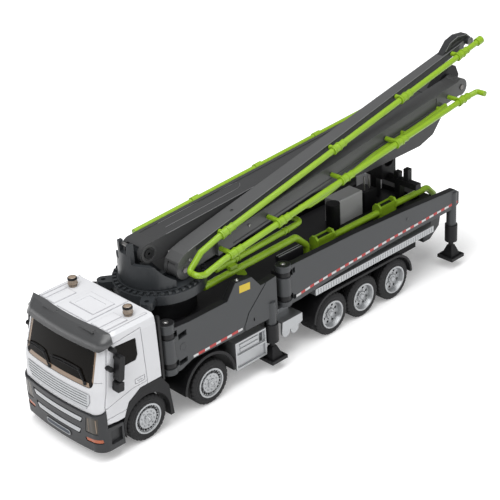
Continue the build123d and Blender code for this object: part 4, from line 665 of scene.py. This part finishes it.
def make_front_marks():
    """The bare number plate with its pale rim, and two bright lines painted inside each headlamp as its highlights.
    """
    tree = skin_of("bumper")
    low, high = 9.0, 11.8
    middle_z = (low + high) / 2
    plate = dense(rounded([(-9.4, low), (9.4, low), (9.4, high), (-9.4, high)], 1.35), 1.2)
    inner = [(y * 0.965, middle_z + (z - middle_z) * 0.74) for y, z in plate]
    middle = [(y * 0.9, middle_z + (z - middle_z) * 0.02) for y, z in plate]
    mesh = bmesh.new()
    add_band(mesh, tree, plate, inner, 0.05)
    piece("plate_rim", mesh, "rim_silver", "chassis")
    mesh = bmesh.new()
    add_band(mesh, tree, inner, middle, 0.04)
    piece("plate_face", mesh, "plate_dark", "chassis")
    # Painted highlights: two bright lines on each headlamp's lens
    lens = skin_of("headlamps")
    mesh = bmesh.new()
    for sideways in (1, -1):
        # columns: y, lowest and highest z, width
        for y, low, high, width in ((27.6, 17.6, 24.8, 0.35), (23.0, 17.4, 24.4, 0.2)):
            corners = [(y, low), (y + width, low), (y + width, high), (y, high)]
            places = [laid(lens, sideways * a, b, 0.05) for a, b in corners]
            if None not in places:
                mesh.faces.new([mesh.verts.new(p) for p in places])
    piece("lamp_highlight_lines", mesh, "glass_edge", "chassis")


def make_roof_shadow_lines():
    """Painted shadow: soft grey lines at the foot of the roof's raised panels, where their shadows fall."""
    mesh = bmesh.new()
    roof_z = 66.9
    line_width = 0.4
    sunk = 0.2
    proud = 0.06
    # columns: front, back, right and left side, height of the foot
    panels = [(15.8, -9.4, -11.5, 11.5, roof_z), (10.0, -3.0, -9.0, 9.0, roof_z + 0.35)]
    for front, back, inner, outer in ((15.4, 2.2, 14.6, 20.4), (15.2, 2.2, 22.2, 24.8), (15.0, -8.0, 25.8, 27.0)):
        panels += [(front, back, inner, outer, roof_z), (front, back, -outer, -inner, roof_z)]
    for front, back, right, left, foot_z in panels:
        for low, high in (
            ((back - line_width, right - line_width), (front + line_width, right)),
            ((back - line_width, left), (front + line_width, left + line_width)),
            ((back - line_width, right), (back, left)),
            ((front, right), (front + line_width, left)),
        ):
            add_block(mesh, (*low, foot_z - sunk), (*high, foot_z + proud))
    piece("roof_shadow_lines", mesh, "roof_shadow_grey", "chassis")


# Reflective marks: red and white dashes along the outriggers; the white ones are less tall
white_share = 0.85


def add_dashes(white, red, route, dash_white, dash_red, height, sideways):
    """Dashes along a route of (x, z) points on the outrigger's outer face, white first."""
    lengths = [(Vector(end) - Vector(start)).length for start, end in zip(route, route[1:])]
    total = sum(lengths)
    shortest = 0.5

    def point(distance):
        for (start, end), length in zip(zip(route, route[1:]), lengths):
            if distance <= length:
                return Vector(start).lerp(Vector(end), distance / length)
            distance -= length
        return Vector(route[-1])

    along = 0.0
    is_white = True
    while along < total - shortest:
        stretch = dash_white if is_white else dash_red
        start = point(along)
        end = point(min(total, along + stretch))
        tall = height * (white_share if is_white else 1.0)
        outline = [(start.x, start.y), (end.x, end.y), (end.x, end.y + tall), (start.x, start.y + tall)]
        add_plate(white if is_white else red, outline, body_half_width - mark_sink, 0.07, sideways)
        along += stretch
        is_white = not is_white


def make_marks():
    """The dashes, and a bare yellow patch on each front arm."""
    dash_height = 1.5
    arm_route = [(-31.4, 32.6), (-65.1, 33.2)]
    beam_route = [(-104.2, 35.3), (-117.9, 36.6), (-133.8, 37.4), (-151.1, 38.1), (-178.5, 39.2), (-198.2, 39.5),
                  (-221.8, 40.0), (-238.2, 40.2)]
    for side_name, sideways in both_sides:
        # columns: body, route, white length, red length
        for body, route, dash_white, dash_red in (
            (f"front_arm_{side_name}", arm_route, 3.2, 4.4), (f"rear_beam_{side_name}", beam_route, 3.6, 3.2),
        ):
            white = bmesh.new()
            red = bmesh.new()
            add_dashes(white, red, route, dash_white, dash_red, dash_height, sideways)
            piece(f"white_dashes_{body}", white, "mark_white", body)
            piece(f"red_dashes_{body}", red, "mark_red", body)
    for side_name, sideways in both_sides:
        mesh = bmesh.new()
        patch = [(-64.3, 54.9), (-71.7, 54.3), (-71.9, 58.3), (-64.5, 59.0)]
        add_plate(mesh, patch, body_half_width - mark_sink, 0.06, sideways)
        piece(f"yellow_patch_{side_name}", mesh, "mark_yellow", f"front_arm_{side_name}")


def make_outrigger_details():
    """Round bosses and screws on the outriggers, and a lip round each hinge barrel."""
    hinge_lip = [(4.0, -0.2), (4.16, 0.0), (4.16, 0.3), (4.0, 0.5)]
    arm_boss = [(2.1, -0.1), (2.1, 0.12), (1.75, 0.16), (1.7, 0.02), (0, 0.02)]
    beam_boss = [(0.9, -0.1), (0.9, 0.2), (0.6, 0.3), (0, 0.3)]
    top_screw = [(1.15, 0), (1.15, 0.5), (0.8, 0.75), (0.45, 0.45), (0, 0.45)]
    for side_name, sideways in both_sides:
        out = straight_left * sideways
        face_y = sideways * body_half_width
        hinge_y = sideways * outrigger_hinge_y
        mesh = bmesh.new()
        add_turned(mesh, at(-25.5, face_y, 41.7), out, arm_boss, 28)
        for z in (29.6, 57.1):
            add_turned(mesh, at(-arm_hinge_setback, hinge_y, z), straight_up, hinge_lip, 36)
        piece(f"arm_bosses_{side_name}", mesh, "panel_grey", f"front_arm_{side_name}")
        mesh = bmesh.new()
        add_turned(mesh, at(-64.8, sideways * 29.0, 61.2), straight_up, top_screw, 20)
        piece(f"arm_screw_{side_name}", mesh, "pin_silver", f"front_arm_{side_name}")
        mesh = bmesh.new()
        for z in (33.2, 56.2):
            add_turned(mesh, at(-beam_hinge_setback, hinge_y, z), straight_up, hinge_lip, 36)
        add_turned(mesh, at(-193.5, face_y, 46.8), out, beam_boss, 16)
        piece(f"beam_bosses_{side_name}", mesh, "panel_grey", f"rear_beam_{side_name}")


def make_outrigger_tops():
    """Dark strips along the outriggers' top edges, and the caps and screws over their hinges."""
    strip_width = 3.6
    strip_far_y = body_half_width - 3.9
    proud = 0.12
    sunk = 0.3
    cap = [(3.8, -0.2), (3.85, 0.12), (3.6, 0.2), (0, 0.2)]
    screw = [(1.2, 0.1), (1.2, 0.5), (0.9, 0.75), (0, 0.8)]
    # places ahead of the front axle and heights, along the top edges
    arm_top = [(-21.6, 54.2), (-30.5, 53.6), (-56.0, 53.6), (-62.0, 61.6), (-73.3, 60.4), (-79.1, 53.1),
               (-82.8, 53.1), (-90.0, 53.9)]
    beam_top = [(-101.8, 55.55), (-150.0, 54.6), (-190.0, 52.6), (-236.0, 49.4), (-239.2, 47.1)]
    for side_name, sideways in both_sides:
        for body, route, hinge_setback, hinge_top in (
            (f"front_arm_{side_name}", arm_top, arm_hinge_setback, 57.6),
            (f"rear_beam_{side_name}", beam_top, beam_hinge_setback, 56.6),
        ):
            outline = [(x, z + proud) for x, z in route] + [(x, z - sunk) for x, z in reversed(route)]
            hinge = at(-hinge_setback, sideways * outrigger_hinge_y, hinge_top)
            mesh = bmesh.new()
            add_plate(mesh, outline, strip_far_y, strip_width, sideways)
            add_turned(mesh, hinge, straight_up, cap, 32)
            piece(f"top_strip_{body}", mesh, "frame_black", body)
            mesh = bmesh.new()
            add_turned(mesh, hinge, straight_up, screw, 16)
            piece(f"hinge_screw_{body}", mesh, "pin_silver", body)


# The folded sections' lines, over the distance behind the front axle
lift_pin_setback = 28.9
section_1_pin_top = 88.5
section_1_slope = math.tan(math.radians(3.5))
front_fold_setback = 41.8
front_fold_z = 72.6
section_2_slope = 30.0 / 215.7
section_3_front_setback = 48.0
section_3_front_top = 82.7
section_3_slope = 45.8 / 214.0
# The third section's near side tapers inwards from here to its tip
taper_setback = 61.8
taper_slope = 2.3 / 200.2


def section_1_top(setback):
    return section_1_pin_top + (setback - lift_pin_setback) * section_1_slope


def section_2_z(setback):
    return front_fold_z + (setback - front_fold_setback) * section_2_slope


def section_3_top(setback):
    return section_3_front_top + (setback - section_3_front_setback) * section_3_slope


def section_3_near_y(setback):
    return fold_near_y - max(0.0, setback - taper_setback) * taper_slope


def make_boom_details():
    """The fork's pin, and rivets, raised rings, a dark disc painted as the shade in a dimple, and a chip on the
    sections.
    """
    mesh = bmesh.new()
    add_turned(mesh, at(-21.1, -5.4, 88.8), straight_left, [(0, 0), (0.88, 0), (0.88, 8.2), (0, 8.2)], 16)
    piece("fork_pin", mesh, "pin_silver", "turret")
    mesh = bmesh.new()
    rivet = [(0.95, -0.1), (0.95, 0.5), (0.665, 0.8), (0, 0.8)]
    add_turned(mesh, at(-45.5, fold_near_y, 76.9), straight_left, rivet, 16)
    piece("boom_3_rivet", mesh, "pin_silver", "boom_3")
    top_ring_setback = 79.8
    top_ring_place = at(-top_ring_setback, 11.8, section_3_top(top_ring_setback))
    top_way = Vector((section_3_slope, 0, 1)).normalized()
    mesh = bmesh.new()
    # columns: place, way it faces, radius of the raised rings on the third section's top and near side
    for place, way, radius in ((top_ring_place, top_way, 1.2), (at(-42.2, fold_near_y, 72.8), straight_left, 2.7)):
        ring = [(radius, -0.1), (radius, 0.16), (radius - 0.35, 0.2), (radius - 0.4, 0.04), (0, 0.04)]
        add_turned(mesh, place, way, ring, 24)
    piece("boom_3_bosses", mesh, "boom_grey", "boom_3")
    # Painted shade: a dark disc in the dimple on the third section's top
    mesh = bmesh.new()
    add_turned(mesh, top_ring_place, top_way, [(0.75, -0.1), (0.75, 0.08), (0, 0.08)], 16)
    piece("boom_3_dimple_shade", mesh, "frame_black", "boom_3")
    mesh = bmesh.new()
    add_turned(mesh, at(-86.5, fold_near_y - 0.4, 80.0), straight_left, [(0.65, -0.1), (0.65, 0.7), (0, 0.9)], 12)
    piece("boom_2_rivet", mesh, "pin_silver", "boom_2")
    mesh = bmesh.new()
    add_plate(mesh, [(-41.2, 79.0), (-43.6, 78.7), (-43.8, 79.5), (-41.4, 79.8)], 6.0, 0.4, 1)
    piece("boom_1_chip", mesh, "mark_white", "boom_1")


def make_boom_lines():
    """Painted shade and highlights: a dark sheet as shade on the third section's web, bright rods as highlights on
    its upper edge, the tip's rim and boss and the first section's panel and top, and a dark plate as shade in the
    tip's slot.
    """
    # Painted shade: a dark sheet on the third section's near side, where the web lies in shade
    web = bmesh.new()
    # columns: setback, depth of the underside
    underside = [(50.0, 3.0), (60.0, 5.0), (74.0, 6.6), (110.0, 7.4), (196.0, 5.4), (258.0, 4.1)]
    stations = []
    for setback, depth in underside:
        top = section_3_top(setback)
        stations.append((-setback, section_3_near_y(setback) - mark_sink, top - depth + 0.15, top - 0.35))
    add_sheet(web, stations, 0.08)
    piece("boom_3_web_shade", web, "web_painted_shade", "boom_3")
    # Painted highlight: a bright rod along the third section's upper edge
    edges = bmesh.new()
    nose = [(-44.9, 81.8), (-47.9, 82.6)]
    crest = [at(x, fold_near_y, z) for x, z in nose]
    crest += [at(-s, section_3_near_y(s), section_3_top(s) - 0.08) for s in (60.0, 110.0, 196.0, 261.0)]
    add_rod(edges, crest, 0.2, 6)
    piece("boom_3_edge_highlight", edges, "highlight_grey", "boom_3")
    # Painted highlights: bright rods round the tip's rim and its boss's ring
    rim = bmesh.new()
    tip_near_y = 14.0
    tip_outline = [(-246.5, 126.3), (-250.6, 130.4), (-257.0, 132.3), (-264.4, 131.6), (-267.4, 129.4)]
    tip_boss = [(2.3, -0.2), (2.3, 0.15), (1.7, 0.3), (1.6, 0.05), (0, 0.05)]
    add_rod(rim, [at(x, tip_near_y, z) for x, z in tip_outline], 0.28, 6)
    add_turned(rim, at(-266.4, 16.0, 127.5), straight_left, tip_boss, 24)
    piece("tip_rim_highlight", rim, "highlight_grey", "boom_3")
    # Painted shade: a dark plate in the tip's slot
    slot = bmesh.new()
    slot_outline = [(-251.5, 128.2), (-252.6, 129.9), (-257.5, 131.0), (-261.0, 130.6), (-260.2, 129.6),
                    (-256.8, 129.6)]
    add_plate(slot, slot_outline, tip_near_y, 0.06, 1)
    piece("tip_slot_shade", slot, "frame_black", "boom_3")
    # Painted highlights: bright rods along the first section's raised panel and its top edge
    lines = bmesh.new()
    # columns: setback and place across of the raised panel's edge, on the first section's sunken top
    panel = [(46.0, -6.2), (66.3, -6.2), (96.5, -6.2), (99.5, -5.4), (100.2, -3.5), (98.4, -1.3), (95.7, -0.4),
             (93.0, -0.2), (68.7, -0.1), (45.8, 0.0)]
    add_rod(lines, [at(-s, y, section_1_top(s) - 0.35) for s, y in panel], 0.16, 6)
    add_rod(lines, [at(-s, 6.0, section_1_top(s)) for s in (41.0, 101.0)], 0.18, 6)
    piece("boom_1_highlight_lines", lines, "highlight_grey", "boom_1")


def add_sleeve(mesh, centre, heading):
    """A clamp on a pipe: three beads over the collar, and a slimmer tail with a bead of its own."""
    inside = 1.5
    # columns: start, end and radius of each bead, and of the tail last
    for low, high, radius in (
        (-2.55, -1.9, 2.5), (-1.3, -0.8, 2.35), (1.9, 2.55, 2.5), (5.9, 6.5, 2.15), (2.4, 6.0, 1.95),
    ):
        add_turned(mesh, centre, heading, [(inside, low), (radius, low), (radius, high), (inside, high)], 20)


def make_boom_clamps():
    """Sleeves along the pipes of the third and the second section."""
    mesh = bmesh.new()
    heading = Vector((-1, 0, section_3_slope)).normalized()
    for setback in (66.0, 148.0, 202.0, 251.0):
        add_sleeve(mesh, at(-setback, 20.6, section_3_top(setback) - 1.6), heading)
    piece("boom_3_clamps", mesh, "lime_green", "boom_3")
    mesh = bmesh.new()
    heading = Vector((-1, 0, section_2_slope)).normalized()
    for setback in (66.0, 100.0, 148.0, 192.0, 246.0):
        add_sleeve(mesh, at(-setback, 26.0, section_2_z(setback) - 1.0), heading)
    piece("boom_2_clamps", mesh, "lime_green", "boom_2")


def make_deck_clamps():
    """A hoop at either end of each deck bracket, its two rims and a dark sheet painted as the shade in its hollow,
    and the riser's rings.
    """
    mesh = bmesh.new()
    shade = bmesh.new()
    pipe_y = 17.4
    half_length = 6.4
    half_hoop = 0.7
    low, high = 52.0, 53.9
    hoop = [(pipe_y - 3.0, 50.0), (pipe_y - 3.0, 53.6), (pipe_y - 1.4, 55.4),
            (pipe_y + 1.4, 55.4), (pipe_y + 3.0, 53.6), (pipe_y + 3.0, 50.0)]
    for setback in (139.0, 190.0):
        for end in (-half_length, half_length):
            faces = []
            for x in (-setback + end - half_hoop, -setback + end + half_hoop):
                faces.append([mesh.verts.new(at(x, y, z)) for y, z in hoop])
            for k in range(6):
                mesh.faces.new((faces[0][k], faces[0][(k + 1) % 6], faces[1][(k + 1) % 6], faces[1][k]))
            mesh.faces.new(faces[0])
            mesh.faces.new(faces[1])
        add_block(mesh, (-setback - half_length, 19.1, low), (-setback + half_length, 20.1, high))
        add_block(mesh, (-setback - half_length, 14.7, low), (-setback + half_length, 15.5, high))
        # Painted shade: a dark sheet in the bracket's hollow
        add_block(shade, (-setback - 5.7, 15.5, 52.9), (-setback + 5.7, 19.1, 53.06))
    piece("deck_clamps", mesh, "lime_green", "chassis")
    piece("clamp_hollow_shade", shade, "frame_black", "chassis")
    mesh = bmesh.new()
    heading = Vector((-1, 0, 0.0536)).normalized()
    for x, y, z in ((-112.0, 15.5, 65.8), (-76.5, 15.5, 63.9)):
        add_turned(mesh, at(x, y, z), heading, [(1.2, -0.5), (2.0, -0.5), (2.0, 0.3), (1.2, 0.3)], 20)
        add_turned(mesh, at(x - 2.4, y, z + 0.1), heading, [(1.2, -0.4), (1.95, -0.4), (1.95, 0.3), (1.2, 0.3)], 20)
    piece("riser_rings", mesh, "lime_green", "chassis")


def make_deck_details():
    """A dark box with two bright rails beside each rear hinge, the riser's clamp, two rods and the locker's lid."""
    mesh = bmesh.new()
    for sideways in (1, -1):
        add_block(mesh, (-118.6, sideways * 19.6, 47.8), (-101.2, sideways * 22.8, 57.0))
    piece("rail_box", mesh, "frame_black", "chassis")
    mesh = bmesh.new()
    rail_width = 0.32
    for sideways in (1, -1):
        for y in (20.0, 21.7):
            add_block(mesh, (-118.4, sideways * y, 56.9), (-101.4, sideways * (y + rail_width), 57.35))
    piece("bright_rails", mesh, "rim_silver", "chassis")
    mesh = bmesh.new()
    add_plate(mesh, [(-74.6, 58.4), (-79.6, 58.8), (-82.0, 54.2), (-81.4, 53.4), (-75.0, 56.4)], 16.6, 1.6, 1)
    piece("riser_clamp", mesh, "lime_green", "chassis")
    mesh = bmesh.new()
    for x in (-190.0, -194.0):
        add_turned(mesh, at(x, 2.0, 57.0), straight_up, [(0.56, 0), (0.56, 8.5), (0.3, 8.75), (0, 8.75)], 12)
    piece("bright_rods", mesh, "pin_silver", "chassis")
    mesh = bmesh.new()
    add_block(mesh, (-185.0, -4.8, 59.4), (-165.0, 4.8, 59.75))
    add_rod(mesh, [at(-165.4, 4.6, 59.5), at(-184.6, 4.6, 59.5)], 0.5, 10)
    piece("locker_lid", mesh, "locker_grey", "chassis")


# Stage: a pale floor under soft studio light
floor_size = 6.0
# Half the length and width of the truck's painted shadow on the floor, and how far beyond it the floor's glow takes
# to come back
shadow_reach = (("X", 125.0), ("Y", 12.0))
fade_width = 80.0
glow_in_shadow = 0.2
glow_beyond = 0.6


def seen_by(tree, names):
    """One where a ray is any of the named kinds, otherwise nought."""
    path = node(tree, "ShaderNodeLightPath")
    seen = path.outputs[names[0]]
    for name in names[1:]:
        either = node(tree, "ShaderNodeMath", operation="MAXIMUM")
        tree.links.new(seen, either.inputs[0])
        tree.links.new(path.outputs[name], either.inputs[1])
        seen = either.outputs[0]
    return seen


def floor_glow_painted_shadow(tree):
    """Painted shadow: the floor's glow fades out under and around the truck, painting its shadow darker there."""
    link = tree.links.new
    place = node(tree, "ShaderNodeTexCoord")
    parts = node(tree, "ShaderNodeSeparateXYZ")
    link(place.outputs["Object"], parts.inputs[0])
    total = node(tree, "ShaderNodeMath", operation="ADD")
    for index, (axis_name, reach) in enumerate(shadow_reach):
        away = node(tree, "ShaderNodeMath", operation="ABSOLUTE")
        past = node(tree, "ShaderNodeMath", operation="SUBTRACT")
        past.inputs[1].default_value = reach * MM
        least = node(tree, "ShaderNodeMath", operation="MAXIMUM")
        least.inputs[1].default_value = 0.0
        square = node(tree, "ShaderNodeMath", operation="POWER")
        square.inputs[1].default_value = 2.0
        link(parts.outputs[axis_name], away.inputs[0])
        link(away.outputs[0], past.inputs[0])
        link(past.outputs[0], least.inputs[0])
        link(least.outputs[0], square.inputs[0])
        link(square.outputs[0], total.inputs[index])
    root = node(tree, "ShaderNodeMath", operation="SQRT")
    fade = node(tree, "ShaderNodeMapRange", interpolation_type="SMOOTHSTEP")
    fade.inputs["From Min"].default_value = 0.0
    fade.inputs["From Max"].default_value = fade_width * MM
    fade.inputs["To Min"].default_value = glow_in_shadow
    fade.inputs["To Max"].default_value = glow_beyond
    link(total.outputs[0], root.inputs[0])
    link(root.outputs[0], fade.inputs["Value"])
    return fade.outputs["Result"]


def make_floor():
    bpy.ops.mesh.primitive_plane_add(size=floor_size, location=(0, 0, 0))
    floor = bpy.context.object
    floor.name = "floor"
    material = bpy.data.materials.new("floor")
    material.use_nodes = True
    tree = material.node_tree
    link = tree.links.new
    shader = tree.nodes["Principled BSDF"]
    shader.inputs["Base Color"].default_value = (0.86, 0.86, 0.865, 1.0)
    shader.inputs["Roughness"].default_value = 0.7
    shader.inputs["Specular IOR Level"].default_value = 0.1
    lift = node(tree, "ShaderNodeMath", operation="MULTIPLY")
    glow = node(tree, "ShaderNodeEmission")
    add = node(tree, "ShaderNodeAddShader")
    link(seen_by(tree, ("Is Camera Ray", "Is Glossy Ray", "Is Transmission Ray")), lift.inputs[0])
    # The floor's glow is weaker near the truck, a painted shadow
    link(floor_glow_painted_shadow(tree), lift.inputs[1])
    link(lift.outputs[0], glow.inputs["Strength"])
    link(shader.outputs[0], add.inputs[0])
    link(glow.outputs[0], add.inputs[1])
    link(add.outputs[0], tree.nodes["Material Output"].inputs["Surface"])
    floor.data.materials.append(material)


def make_backdrop():
    """A white backdrop for the camera and through glass, over a plain low light on the truck."""
    world = bpy.data.worlds.new("studio")
    bpy.context.scene.world = world
    world.use_nodes = True
    tree = world.node_tree
    link = tree.links.new
    plain = tree.nodes["Background"]
    plain.inputs["Color"].default_value = (1.0, 1.0, 1.0, 1.0)
    plain.inputs["Strength"].default_value = 0.3
    backdrop = node(tree, "ShaderNodeBackground")
    backdrop.inputs["Strength"].default_value = 1.0
    mix = node(tree, "ShaderNodeMixShader")
    link(seen_by(tree, ("Is Camera Ray", "Is Transmission Ray")), mix.inputs["Fac"])
    link(plain.outputs[0], mix.inputs[1])
    link(backdrop.outputs[0], mix.inputs[2])
    link(mix.outputs[0], tree.nodes["World Output"].inputs["Surface"])


def make_lamps():
    """Three round soft lamps, each aimed at the truck's middle."""
    middle = at(-110, 0, 50)
    # columns: name, place, size, power
    for name, place, size, power in (
        ("overhead", at(-60, 60, 900), 0.8, 6.0),
        ("key", at(420, 160, 620), 0.5, 2.5),
        ("fill", at(-300, 560, 330), 0.5, 0.85),
    ):
        data = bpy.data.lights.new(name, "AREA")
        data.shape = "DISK"
        data.size = size
        data.energy = power
        lamp = bpy.data.objects.new(name, data)
        lamp.location = place
        lamp.rotation_euler = (place - middle).to_track_quat("Z", "Y").to_euler()
        bpy.context.scene.collection.objects.link(lamp)


def make_stage():
    bpy.context.scene.view_settings.view_transform = "Standard"
    make_floor()
    make_backdrop()
    make_lamps()


make_camera()
make_materials()
dress_nodes()
make_tyres()
make_wheel_details()
make_beacons()
make_screen_trim()
make_front_marks()
make_marks()
make_outrigger_details()
make_outrigger_tops()
make_boom_details()
make_boom_lines()
make_boom_clamps()
make_deck_clamps()
make_roof_shadow_lines()
make_deck_details()
make_stage()
